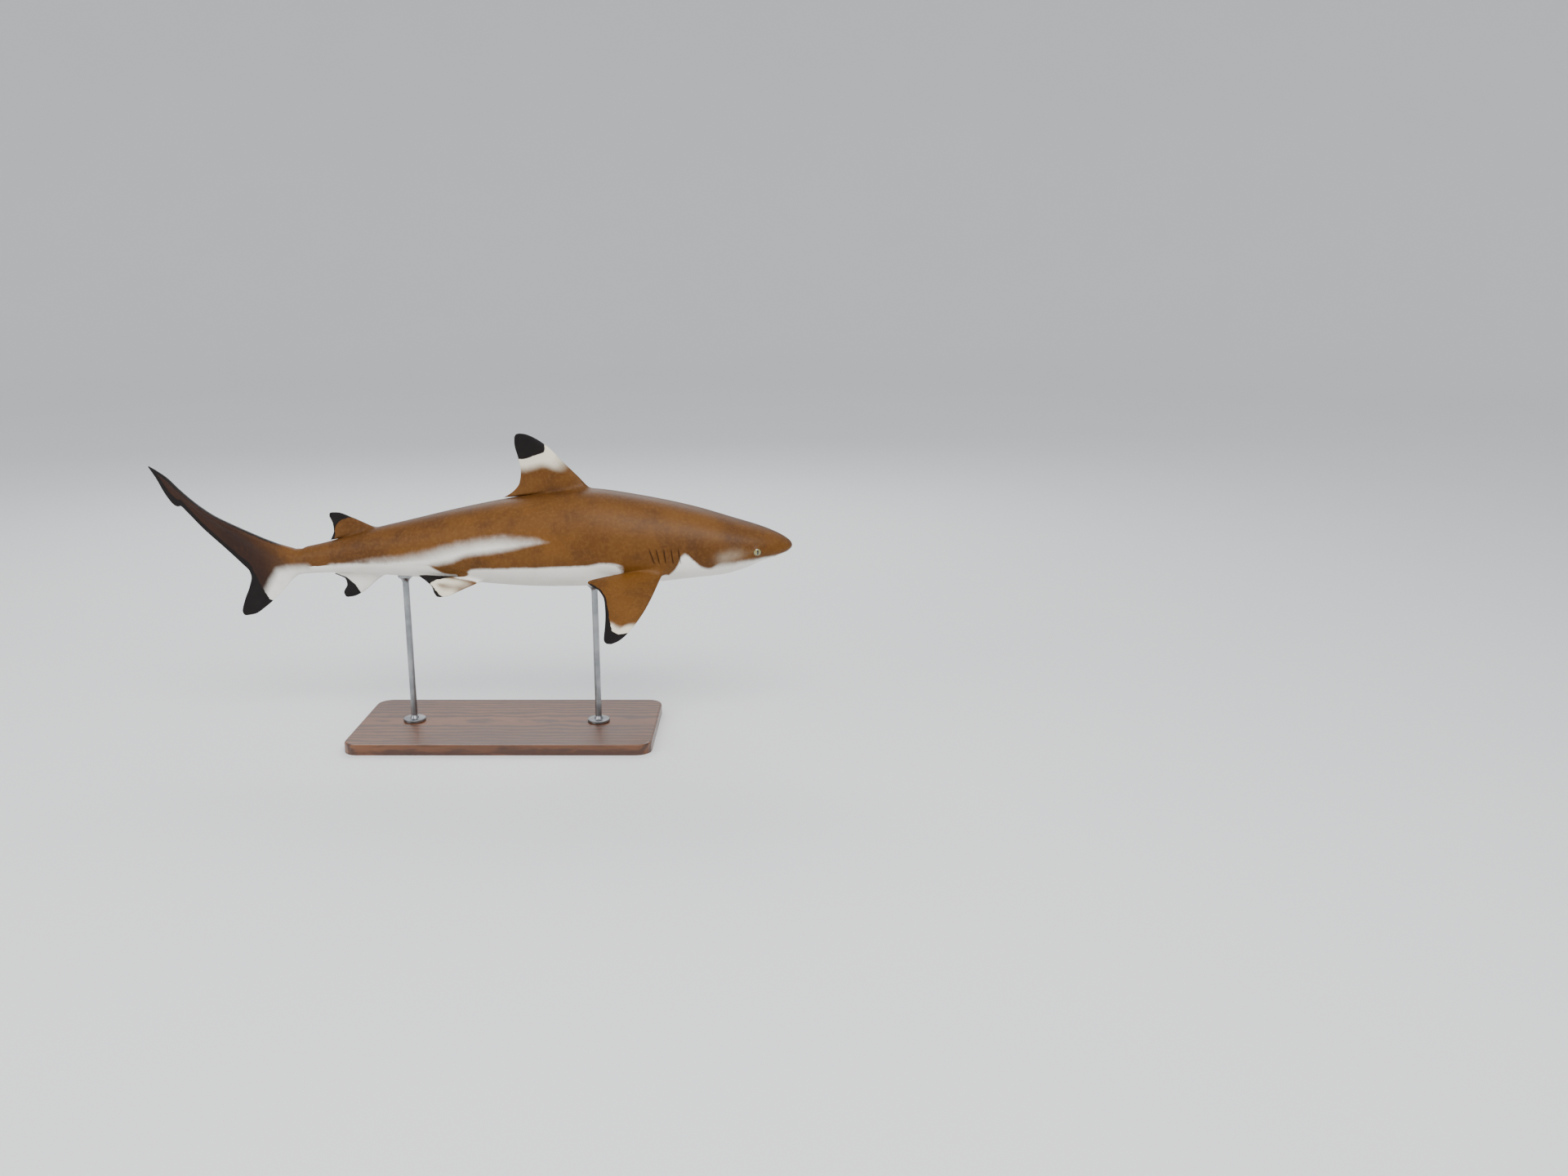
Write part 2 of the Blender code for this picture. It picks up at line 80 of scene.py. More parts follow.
# Tail rows from the upper edge to the lower edge: upper s, h, lower s, h, half thickness of the core
TAIL_ROWS = (
    (0.945, 0.0048, 0.945, -0.0592, 0.0275),
    (0.990, -0.0060, 0.990, -0.0615, 0.0222),
    (1.013, -0.0112, 1.006, -0.0632, 0.0195),
    (1.022, -0.0090, 1.024, -0.0730, 0.0170),
    (1.030, -0.0068, 1.049, -0.1000, 0.0150),
    (1.038, -0.0046, 1.084, -0.1315, 0.0135),
    (1.045, -0.0026, 1.112, -0.1500, 0.0127),
    (1.050, -0.0010, 1.132, -0.1535, 0.0120),
    (1.055, 0.0008, 1.138, -0.1440, 0.0115),
    (1.059, 0.0022, 1.131, -0.1210, 0.0111),
    (1.064, 0.0042, 1.119, -0.0940, 0.0107),
    (1.078, 0.0096, 1.1125, -0.0720, 0.0101),
    (1.102, 0.0200, 1.1155, -0.0590, 0.0091),
    (1.140, 0.0370, 1.129, -0.0440, 0.0078),
    (1.182, 0.0580, 1.1605, -0.0125, 0.0065),
    (1.215, 0.0815, 1.2015, 0.0265, 0.0054),
    (1.243, 0.1065, 1.2425, 0.0695, 0.0042),
    (1.251, 0.1145, 1.259, 0.0765, 0.0038),
    (1.269, 0.1330, 1.2755, 0.0980, 0.0030),
    (1.292, 0.1490, 1.2925, 0.1325, 0.0018),
    (1.305, 0.1565, 1.3055, 0.1540, 0.0008),
)
LAST_ROW = len(TAIL_ROWS) - 1
FIN_EDGE = 0.00055      # half thickness of a fin's edge
NOTCH_ROW, NOTCH_HALF, NOTCH_DEPTH = 16.15, 0.26, 0.0040     # cut in the upper lobe's lower edge
STALK_ROWS = (0.5, 4.0)         # rows over which the round stalk turns into the thin tail
CREST_DEPTH, WEB_FADE = 1.2, 2.1        # in core thicknesses: depth of the thickest line, fading below it

# Fins. foot: front s, rear s, middle angle from the back and half width in degrees, of the patch of body
# that the root grows from. lead and rear: share of the span, then aft and outward, down each edge.
# origin (s, y, h), droop and rise in degrees set the fin's own plane.
UPRIGHT = dict(origin=(0.0, 0.0, 0.0), droop=-90, rise=0)
FINS = {
    "dorsal_fin_first": dict(
        UPRIGHT, foot=(0.397, 0.537, 0, 13), thick=0.0090, fillet=0.013,
        lead=((0.0, 0.409, 0.117), (0.15, 0.427, 0.137), (0.35, 0.459, 0.169), (0.65, 0.490, 0.201),
              (0.88, 0.5225, 0.2218), (0.96, 0.537, 0.2263), (1.0, 0.5455, 0.2268)),
        rear=((0.0, 0.524, 0.1020), (0.10, 0.582, 0.0975), (0.22, 0.562, 0.110), (0.38, 0.5485, 0.128),
              (0.58, 0.545, 0.153), (0.75, 0.549, 0.177), (0.92, 0.5555, 0.208), (0.97, 0.555, 0.219),
              (1.0, 0.5515, 0.2252))),
    "dorsal_fin_second": dict(
        UPRIGHT, foot=(0.838, 0.920, 0, 21), thick=0.0050, fillet=0.007,
        lead=((0.0, 0.846, 0.034), (0.45, 0.892, 0.055), (0.85, 0.923, 0.0655), (1.0, 0.933, 0.0655)),
        rear=((0.0, 0.912, 0.013), (0.18, 0.9410, 0.0080), (0.45, 0.9325, 0.0270), (0.75, 0.934, 0.045),
              (0.93, 0.940, 0.059), (1.0, 0.938, 0.064))),
    "anal_fin": dict(
        origin=(0.0, 0.0, 0.0), droop=90, rise=0, foot=(0.821, 0.914, 180, 21), thick=0.0050, fillet=0.007,
        lead=((0.0, 0.829, 0.059), (0.20, 0.8525, 0.0765), (0.45, 0.8765, 0.0970), (0.85, 0.9025, 0.1100),
              (1.0, 0.9135, 0.1115)),
        rear=((0.0, 0.906, 0.058), (0.18, 0.9385, 0.0618), (0.38, 0.9165, 0.0720), (0.65, 0.9135, 0.0850),
              (0.93, 0.9215, 0.1030), (1.0, 0.9175, 0.1105))),
    "pectoral_fin": dict(
        origin=(0.264, 0.072, -0.045), droop=27, rise=0, foot=(0.249, 0.350, 120, 15), thick=0.0085,
        fillet=0.012,
        lead=((0.0, -0.004, 0.004), (0.35, 0.012, 0.074), (0.6, 0.025, 0.118), (0.85, 0.051, 0.1765),
              (0.95, 0.0655, 0.1955), (1.0, 0.077, 0.2025)),
        rear=((0.0, 0.073, -0.004), (0.12, 0.141, 0.024), (0.25, 0.116, 0.050), (0.4, 0.103, 0.078),
              (0.7, 0.0945, 0.148), (0.92, 0.093, 0.188), (0.97, 0.0905, 0.1975), (1.0, 0.086, 0.202))),
    "pelvic_fin": dict(
        origin=(0.623, 0.043, -0.064), droop=38, rise=5.5, foot=(0.611, 0.676, 143, 14), thick=0.0050,
        fillet=0.007,
        lead=((0.0, -0.003, 0.000), (0.5, 0.036, 0.0285), (0.85, 0.063, 0.0480), (1.0, 0.077, 0.0525)),
        rear=((0.0, 0.044, -0.002), (0.15, 0.128, 0.003), (0.4, 0.111, 0.0165), (0.65, 0.0975, 0.029),
              (0.9, 0.090, 0.0445), (1.0, 0.084, 0.0520))),
}

FIN_NOSE = 0.030        # share of the chord in the round of each end of a section
FOIL_FULLNESS = 2.6     # makes the section's thickest place as thick as its half thickness says
TIP_CORE = 0.0004       # half thickness left at the tip
EDGE_SHARE = 0.02       # share of the chord over which the edge's own thickness closes
FEWEST_RINGS = 12       # rings of a small fin

EYE_S, EYE_H = 0.070, -0.0035
EYE_R = 0.0120
EYE_PROUD = 0.0035      # how far the eyeball stands out of the body's plain surface
EYE_HALF_LENGTH, EYE_HALF_HEIGHT = 0.0087, 0.0073       # opening between the lids
CORNEA_RISE = 0.0004
PUPIL_HALF_WIDTH, PUPIL_HALF_HEIGHT = 0.0017, 0.0049
BEHIND_IRIS = 0.02      # marks of the point at the back of the eyeball
LID_PATCH, LID_PATCH_DEGREES = 0.0150, 15       # half length and half width of the opening they fill
LID_THICK, LID_SOFT = 0.0010, 0.0007
SOCKET_GAP = 0.00025
BEHIND_EYE = 20.0       # chord of the point that closes the socket
# Lid edge rolled inwards and the socket behind it: radians on round the eyeball, clearance from it
SOCKET = ((-0.040, 0.00075), (-0.075, 0.00040), (-0.085, 0.00012), (-0.040, 0.00014),
          *((turn, SOCKET_GAP) for turn in (0.10, 0.30, 0.60, 0.95, 1.30, 1.65, 1.95)))

MOUTH_BASE = 0.097      # ring of the grid that the mouth's arch follows
MOUTH_REACH = 0.037     # how far the arch swings ahead of and behind that ring
MOUTH_WINDOW = 0.075    # how far from that ring others still swing with it
MOUTH_CORNER = 55       # degrees from the belly
# The arch's shape: degrees from the belly, share of the swing
MOUTH_ARCH = ((-20, 0.06), (0, 0.0), (20, 0.06), (30, 0.17), (40, 0.40), (48, 0.70), (54, 0.93), (60, 1.0),
              (67, 0.95), (85, 0.62), (100, 0.5), (180, 0.5))
GROOVE_DEPTH, GROOVE_HALF = 0.0036, 0.0013
LIP_HEIGHT, LIP_HALF, LIP_AHEAD = 0.0007, 0.0026, 0.0034
JAW_INSET, JAW_FADE = 0.0026, 0.011
NOSTRIL = ((0.0405, 0.0195), (0.0365, 0.0235), (0.0345, 0.0290))       # s and y along the slit
NOSTRIL_DEPTH, NOSTRIL_HALF = 0.0034, 0.0013
NOSTRIL_FLAP, FLAP_HALF, FLAP_AHEAD = 0.0008, 0.0018, 0.0028

SLITS = (0.2229, 0.2373, 0.2520, 0.2656, 0.2775)
SLIT_LEANS = (0.14, 0.14, 0.11, 0.21, 0.35)
SLIT_H, SLIT_HALF = -0.008, 0.017       # middle and half length of a slit
SLIT_DROP, SLIT_FADE, SLIT_SWELL = 0.0030, 0.0042, 0.0012
LEAN_STARTS, LEAN_ENDS = (0.200, 0.222), (0.283, 0.315)     # where the rings' lean grows and dies away
LEAN_REACH = 0.032      # height over which a slit leans
GILL_HALF_HEIGHT, GILL_MIDDLE = 0.080, 0.003
FOLDS_END = 0.35        # behind the last gill slit

TAIL_PIT_S, TAIL_PIT_DEPTH, TAIL_PIT_HALF = 1.002, 0.0022, 0.0055

# ---- Driving lines of the markings and of the painted shade ----
OUTSIDE = -0.05         # mark of a point that is nowhere near a patch
# Border of the white belly: s and degrees round from the back
BELLY_LINE = ((0.000, 112), (0.024, 113), (0.050, 106), (0.070, 107.5), (0.095, 108), (0.122, 108),
              (0.147, 110), (0.163, 113), (0.179, 109), (0.195, 98), (0.211, 88), (0.220, 92), (0.229, 104),
              (0.241, 116), (0.258, 128), (0.300, 118), (0.345, 106), (0.372, 104), (0.405, 109),
              (0.470, 112.5), (0.520, 114.8), (0.602, 119), (0.640, 123), (0.655, 133), (0.672, 139),
              (0.700, 138), (0.717, 128), (0.735, 117.5), (0.800, 118), (0.900, 119), (0.990, 118.5))
# Pale streak along the flank: s, then degrees of its upper and its lower edge
STREAK = ((0.440, 77, 78), (0.484, 71, 79), (0.516, 68.5, 81), (0.565, 68.5, 87), (0.615, 71, 92),
          (0.650, 75, 97), (0.684, 80, 110), (0.707, 85, 115), (0.740, 94, 121), (0.790, 103.5, 124),
          (0.855, 109, 124), (0.900, 112.5, 124), (0.960, 120, 126))
# Lines with a fin's black tip on their left, in the fin's own plane
TIP_LINES = {
    "dorsal_fin_first": ((0.4960, 0.2150), (0.4960, 0.2035), (0.4942, 0.1965), (0.4960, 0.1895),
                         (0.5028, 0.1870), (0.5236, 0.1798), (0.5385, 0.1755), (0.5800, 0.1735)),
    "dorsal_fin_second": ((0.8800, 0.0600), (0.8950, 0.0557), (0.9080, 0.0527), (0.9200, 0.0475),
                          (0.9265, 0.0395), (0.9305, 0.0290), (0.9290, 0.0205), (0.9320, 0.0120),
                          (0.9400, 0.0030)),
    "anal_fin": ((0.8700, 0.1180), (0.8865, 0.1010), (0.8900, 0.0910), (0.8960, 0.0835), (0.9045, 0.0760),
                 (0.9120, 0.0690), (0.9240, 0.0640), (0.9450, 0.0580)),
    "pectoral_fin": ((0.0350, 0.1680), (0.0515, 0.1740), (0.0665, 0.1785), (0.0780, 0.1695),
                     (0.0860, 0.1420), (0.0925, 0.1060), (0.1000, 0.0730), (0.1105, 0.0510),
                     (0.1285, 0.0335), (0.1500, 0.0210)),
    "pelvic_fin": ((0.0620, 0.0500), (0.0750, 0.0440), (0.0890, 0.0290), (0.1020, 0.0150), (0.0900, 0.0080),
                   (0.0685, 0.0020), (0.0450, -0.0040)),
}
# On the tail's lower lobe, in s and h: border of the black tip, and border of the pale root
LOBE_LINE = ((1.1280, -0.0330), (1.1080, -0.0560), (1.1010, -0.0700), (1.0966, -0.0820), (1.0903, -0.0946),
             (1.0831, -0.1086), (1.0787, -0.1169), (1.0700, -0.1198), (1.0500, -0.1300))
LOBE_PALE = ((0.985, -0.0435), (1.030, -0.0475), (1.056, -0.0560), (1.0645, -0.0700), (1.074, -0.0840),
             (1.083, -0.1000), (1.090, -0.1200))
# Tail row, width of the black along the tail's rear edge
BLACK_EDGE = ((0, 0.0), (9, 0.0), (11, 0.0140), (14, 0.0165), (16.5, 0.0150), (18, 0.0150), (20, 0.0120))
# Pale band beside a paired fin's black tip: span shares over which it grows, depth
PALE_REACH = {"pectoral_fin": (0.62, 0.80, 0.011), "pelvic_fin": (0.05, 0.35, 0.014)}
# Fine line along the flank: s, h
LATERAL_LINE = ((0.14, 0.020), (0.25, 0.036), (0.40, 0.044), (0.60, 0.026), (0.80, 0.000), (0.92, -0.018),
                (1.00, -0.028))
SNOUT_WHITE = 0.0045    # how far below the snout's tip its white starts
STREAK_SLOPE, STREAK_INSET, STREAK_POINT = 0.55, 0.004, 0.007       # soft upper edge, pointed front end
# How much softer the white's edge is on the flank's streak, the tail stalk and the cheek
STREAK_SOFT, STALK_SOFT, CHEEK_SOFT = 0.0065, 0.0075, 0.0045
# Pale patch behind the eye: its middle and half length, both again in degrees from the back, how pale
CHEEK_S, CHEEK_HALF, CHEEK_DEGREES, CHEEK_SPREAD, CHEEK_PALE = 0.116, 0.050, 96, 20, 0.31
LOBE_ROWS = 9.5         # rows of the tail that take in the whole lower lobe
TAIL_SHADE, TAIL_SHADE_REACH = 0.88, (1.02, 1.13)       # painted shade over the tail: how dark it gets, and from where to where
SHADED_RIDGE_DEGREES = 34      # half width of the painted shade that darkens the top of the back
UNDERSIDE = 0.006       # mark of a paired fin's white underside, and taken away on its upper side
UNDER_TIP = 0.004       # how far the pale bands reach in under the black
ANAL_WHITE = 0.004      # mark of the anal fin, which is white on both sides

# ---- Driving fineness of the skin and its places on the map ----
RING = 160              # points round the body
BODY_END = 0.990        # last ring of the body, where the tail's rows take over
SNOUT_RINGS = 12        # rings from the tip of the snout to the second station
# Distance between the body's rings: s, distance
RING_STEPS = ((0.008, 0.0013), (0.03, 0.0016), (0.16, 0.0018), (0.20, 0.0030), (0.30, 0.0030),
              (0.34, 0.0055), (0.93, 0.0055), (0.99, 0.0040))
MOUTH_STEP, SLIT_STEP = 0.00045, 0.00035        # distance between rings at a fold
STEP_GROWTH = 0.24      # how much that grows with distance from the fold
TAIL_STEPS = 5          # rings of the grid for each row of the tail
TAIL_ROW_STEP = 0.020   # how far aft each row of the tail carries the body's own section
LAST_SECTION = 1.014    # where that section stops
BODY_TO_TAIL = 2.2      # rows over which the body's section turns into the tail's
FILLET_RINGS = 10       # rings that turn from the body into a fin
FILLET_TAPER = 0.7      # how much shorter that turn is at the rear of a fin than at the front
FIN_STEP = 0.0032       # distance between a fin's rings
LID_RINGS = 9
EYE_SIDES = 64

SKIN_WIDTH = 1.46       # length of body and tail laid flat, which fills the map's width
SKIN_EDGE = 0.005       # margin of the map
GIRTH = 0.52            # girth laid flat
TAIL_FLAT_END = 1.43    # end of the tail laid flat
SNOUT_SPREAD = 0.7      # how much of the snout's half width is added to its length laid flat
# Places of the fins on the map: the left or upright fin, then the right one
FIN_SCALE = 1.5
FIN_FAR_SIDE = (0.0, 0.30)
FIN_CORNERS = {
    "pectoral_fin": ((0.022, 0.410), (0.185, 0.410)), "dorsal_fin_first": ((0.360, 0.410),),
    "dorsal_fin_second": ((0.565, 0.410),), "anal_fin": ((0.690, 0.410),),
    "pelvic_fin": ((0.570, 0.530), (0.730, 0.530)),
}

# What is known of a point: the piece it belongs to, its place on the grid, and on a fin its share of the
# chord and of the span and its side. Span is the row on the tail, and chord counts rings round an eye.
FACTS = ("piece", "ring", "s", "angle", "chord", "span", "side")
PIECES = ("body", "tail", "eye", *FINS)
EYE = PIECES.index("eye")
SIDE_NAMES = {1: "left", -1: "right"}

# ---- Driving places of the camera, the lights and the floor ----
CAMERA_SPOT = (0.6362, -2.7624, 0.9879)
CAMERA_DOWN = 13.8      # degrees below level
CAMERA_LENS = 31.875
LIGHT_AIM = (0.0, 0.0, 0.38)
# Name, place, size and power
LIGHTS = (("key", (1.1, -2.4, 3.0), (2.4, 1.6), 120), ("fill", (-2.6, -2.0, 1.5), (2.0, 2.0), 42),
          ("rim", (-0.3, 2.6, 2.4), (2.6, 1.2), 55))
SKY_COLOUR, SKY_POWER = (0.92, 0.95, 1.0, 1.0), 0.95
FLOOR_RINGS = (2.0, 5.0, 8.0)       # radii of the flat floor's rings
FLOOR_CURVE = 4.0       # radius of the turn from floor to wall
WALL_TOP = 9.0
FLOOR_SIDES, CURVE_STEPS = 96, 16


# ---- Curves ----
def natural_spline(knots, values):
    """Smoothest curve through the values, as a function of an array of places."""
    x = np.asarray(knots, float)
    y = np.asarray(values, float)
    n = len(x)
    h = np.diff(x)
    a = np.eye(n)
    r = np.zeros_like(y)
    for i in range(1, n - 1):
        a[i, i - 1:i + 2] = h[i - 1], 2 * (h[i - 1] + h[i]), h[i]
        r[i] = 6 * ((y[i + 1] - y[i]) / h[i] - (y[i] - y[i - 1]) / h[i - 1])
    m = np.linalg.solve(a, r)

    def at(t):
        t = np.asarray(t, float)
        i = np.clip(np.searchsorted(x, t, side="right") - 1, 0, n - 2)
        p, q, w = (t - x[i])[..., None], (x[i + 1] - t)[..., None], h[i][..., None]
        cubic = (m[i] * q ** 3 + m[i + 1] * p ** 3) / (6 * w)
        return cubic + (y[i] / w - m[i] * w / 6) * q + (y[i + 1] / w - m[i + 1] * w / 6) * p
    return at


def steady_curve(table):
    """Smooth curve through rows of (place, values...) that doesn't overshoot them."""
    table = np.asarray(table, float)
    x, y = table[:, 0], table[:, 1:]
    slope = np.diff(y, axis=0) / np.diff(x)[:, None]
    tangent = np.zeros_like(y)
    tangent[0], tangent[-1] = slope[0], slope[-1]
    before, after = slope[:-1], slope[1:]
    same = before * after > 0
    tangent[1:-1] = np.where(same, 2 * before * after / np.where(same, before + after, 1.0), 0.0)

    def at(t):
        t = np.clip(np.asarray(t, float), x[0], x[-1])
        i = np.clip(np.searchsorted(x, t, side="right") - 1, 0, len(x) - 2)
        w = (x[i + 1] - x[i])[..., None]
        u = (t - x[i])[..., None] / w
        return ((1 + 2 * u) * (1 - u) ** 2 * y[i] + u * (1 - u) ** 2 * w * tangent[i]
                + u * u * (3 - 2 * u) * y[i + 1] + u * u * (u - 1) * w * tangent[i + 1])
    return at


def rise(lo, hi, x):
    """0 at lo, 1 at hi, smooth between and level beyond; it falls where hi is below lo."""
    u = np.clip((x - lo) / (hi - lo), 0, 1)
    return u * u * (3 - 2 * u)


def bell(x, width):
    """1 at 0, dying away on both sides over about twice the width."""
    return np.exp(-(x / width) ** 2)


def beyond(p, q, points):
    """Distance of points p, q from a line through places, positive on its left."""
    best, side = np.full(np.shape(p), 9.0), np.zeros(np.shape(p))
    for (x0, y0), (x1, y1) in zip(points, points[1:]):
        dx, dy = x1 - x0, y1 - y0
        u = np.clip(((p - x0) * dx + (q - y0) * dy) / (dx * dx + dy * dy), 0, 1)
        gap = np.hypot(p - x0 - u * dx, q - y0 - u * dy)
        left = (dx * (q - y0) - dy * (p - x0)) / np.hypot(dx, dy)
        at_corner = (gap < best + 1e-9) & (np.abs(left) > np.abs(side))
        side = np.where((gap < best - 1e-9) | at_corner, left, side)
        best = np.minimum(best, gap)
    return np.sign(side) * best


# ---- The body as a surface ----
_stations = np.array(STATIONS)
_profile = natural_spline(np.sqrt(_stations[:, 0]), _stations[:, 1:])
_tail = steady_curve([(i, *row) for i, row in enumerate(TAIL_ROWS)])
_arch = steady_curve(MOUTH_ARCH)


def section(s, angle):
    """Point at s and angle from the back towards the left, before any folds: (s, y, h)."""
    s, angle = np.broadcast_arrays(s, angle)
    back, belly, half_w, widest, n_back, n_belly = np.moveaxis(_profile(np.sqrt(s)), -1, 0)
    half_h = np.where(np.cos(angle) > 0, back - widest, widest - belly)
    mix = np.clip(4 * np.cos(angle), -1, 1) / 2 + 0.5
    n = n_belly + (n_back - n_belly) * mix
    r = ((np.abs(np.sin(angle)) / half_w) ** n + (np.abs(np.cos(angle)) / half_h) ** n) ** (-1 / n)
    return np.stack([s, r * np.sin(angle), widest + r * np.cos(angle)], -1)


def fold_angle(angle):
    """Angle from the back on either side, 0 to pi."""
    return np.where(angle > pi, 2 * pi - angle, angle)


def belly_degrees(angle):
    """Degrees round from the belly, 0 to 180."""
    return np.degrees(np.arccos(np.clip(-np.cos(angle), -1, 1)))


def follow_folds(s, angle):
    """Bends the grid's rings so that they run along the mouth and the gill slits."""
    swing = MOUTH_REACH * (2 * _arch(belly_degrees(angle))[..., 0] - 1)
    near = np.cos(np.clip((s - MOUTH_BASE) / MOUTH_WINDOW, -1, 1) * pi / 2) ** 2
    lean = np.interp(s, SLITS, SLIT_LEANS) * rise(*LEAN_STARTS, s) * (1 - rise(*LEAN_ENDS, s))
    height = GILL_HALF_HEIGHT * np.cos(angle) + GILL_MIDDLE
    return s + swing * near + lean * LEAN_REACH * np.tanh(height / LEAN_REACH)


def tail_section(t, angle):
    """Point of the tail at row t and angle from the upper edge: a round core fading to a thin web."""
    t, angle = np.broadcast_arrays(t, angle)
    s_up, h_up, s_low, h_low, core = np.moveaxis(_tail(t), -1, 0)
    full = np.hypot(s_low - s_up, h_low - h_up)
    share = (1 - np.cos(angle)) / 2 * (1 - NOTCH_DEPTH * bell(t - NOTCH_ROW, NOTCH_HALF) / full)
    depth, centre = share * full, full / 2
    stalk = core * np.sqrt(np.clip(1 - ((depth - centre) / centre) ** 2, 0, 1))
    crest = np.minimum(CREST_DEPTH * core, centre)
    upper = core * np.sqrt(np.clip(1 - (1 - depth / crest) ** 2, 0, 1))
    lower = core * np.exp(-((depth - crest) / (WEB_FADE * core)) ** 2)
    lobe = np.where(depth < crest, upper, lower)
    blend = rise(*STALK_ROWS, t)
    edge = FIN_EDGE * np.sqrt(np.clip(3 * np.abs(np.sin(angle)), 0, 1))
    y = np.sign(np.sin(angle)) * (edge * blend + stalk * (1 - blend) + lobe * blend)
    return np.stack([s_up + (s_low - s_up) * share, y, h_up + (h_low - h_up) * share], -1)


def body_into_tail(s, t, angle):
    """Point of the body at s, turning into the tail's at row t."""
    share = rise(0.0, BODY_TO_TAIL, t)[..., None]
    return section(s, angle) * (1 - share) + tail_section(np.maximum(t, 0), angle) * share


def place(p):
    """From the fish's frame to the model's."""
    s, y, h = np.moveaxis(p, -1, 0)
    reach = np.maximum(s - SWEEP_START, 0.0) / (SWEEP_END - SWEEP_START)
    turn = np.arctan(2 * SWEEP * reach / (SWEEP_END - SWEEP_START))
    return np.stack([SNOUT_X - s + y * np.sin(turn), SWEEP * reach ** 2 + y * np.cos(turn),
                     SNOUT_Z + h], -1)


def surface_point(s, angle):
    """Point of the plain body and its outward normal."""
    p = section(s, angle)
    along = section(s + 1e-5, angle) - p
    across = section(s, angle + 1e-4) - p
    n = np.cross(along, across)
    return p, n / np.linalg.norm(n, axis=-1, keepdims=True)


def surface_normals(grid):
    """Outward normals of a grid of rings, closed round its second axis."""
    along = np.gradient(grid, axis=0)
    across = (np.roll(grid, -1, 1) - np.roll(grid, 1, 1)) / 2
    n = np.cross(along, across)
    return n / np.maximum(np.linalg.norm(n, axis=-1, keepdims=True), 1e-12)


def body_rows():
    """Places of the body's rings: close together on the snout, at the mouth and at the gill slits."""
    rows = list(STATIONS[1][0] * (np.arange(1, SNOUT_RINGS + 1) / SNOUT_RINGS) ** 2)
    while rows[-1] < BODY_END:
        step = np.interp(rows[-1], *zip(*RING_STEPS))
        for fold, fine in ((MOUTH_BASE, MOUTH_STEP), *((slit, SLIT_STEP) for slit in SLITS)):
            step = min(step, fine + STEP_GROWTH * abs(rows[-1] - fold))
        rows.append(min(rows[-1] + step, BODY_END))
    return np.array(rows)


# ---- Relief of the head and flanks ----
def mouth_relief(s, angle):
    """The mouth's groove, the lip rolled over it and the lower jaw set in behind it."""
    d = s - MOUTH_BASE
    reach = 1 - rise(MOUTH_CORNER - 5, MOUTH_CORNER + 1, belly_degrees(angle))
    groove = -GROOVE_DEPTH * bell(d, GROOVE_HALF)
    lip = LIP_HEIGHT * bell(d + LIP_AHEAD, LIP_HALF)
    jaw = -JAW_INSET * rise(0, 0.0008, d) * np.exp(-np.clip(d, 0, None) / JAW_FADE)
    return (groove + lip + jaw) * reach


def slit_relief(s, h):
    """Gill slits: each flap swells towards its free rear edge and drops into the slit."""
    total = np.zeros_like(s)
    for slit in SLITS:
        d = s - slit
        length = 1 - rise(0.62, 1.0, np.abs(h - SLIT_H) / SLIT_HALF)
        drop = -SLIT_DROP * rise(-0.0003, 0.0005, d) * np.exp(-np.clip(d, 0, None) / SLIT_FADE)
        swell = SLIT_SWELL * rise(-0.010, -0.0008, d) * (1 - rise(-0.0008, 0.0004, d))
        total = total + (drop + swell) * length
    return total


def nostril_gap(s, y):
    """Distance from the slit of the nostril on the same side."""
    return np.abs(beyond(s, np.abs(y), NOSTRIL))


def nostril_relief(s, y, h):
    """Slanting slit of each nostril under the snout, with the flap in front of it."""
    flap = NOSTRIL_FLAP * bell(nostril_gap(s + FLAP_AHEAD, y), FLAP_HALF)
    return rise(0.004, -0.004, h) * (flap - NOSTRIL_DEPTH * bell(nostril_gap(s, y), NOSTRIL_HALF))


def tail_pit(s, h):
    """Shallow notch across the tail stalk just ahead of the upper lobe."""
    return -TAIL_PIT_DEPTH * bell(s - TAIL_PIT_S, TAIL_PIT_HALF) * rise(-0.030, -0.016, h)


def body_relief(ring, angle, grid):
    """How far folds and hollows lift or sink the body's surface."""
    s, y, h = np.moveaxis(grid, -1, 0)
    folds = np.where(ring < FOLDS_END, mouth_relief(ring, angle) + slit_relief(ring, h), 0.0)
    return folds + nostril_relief(s, y, h) + tail_pit(s, h)


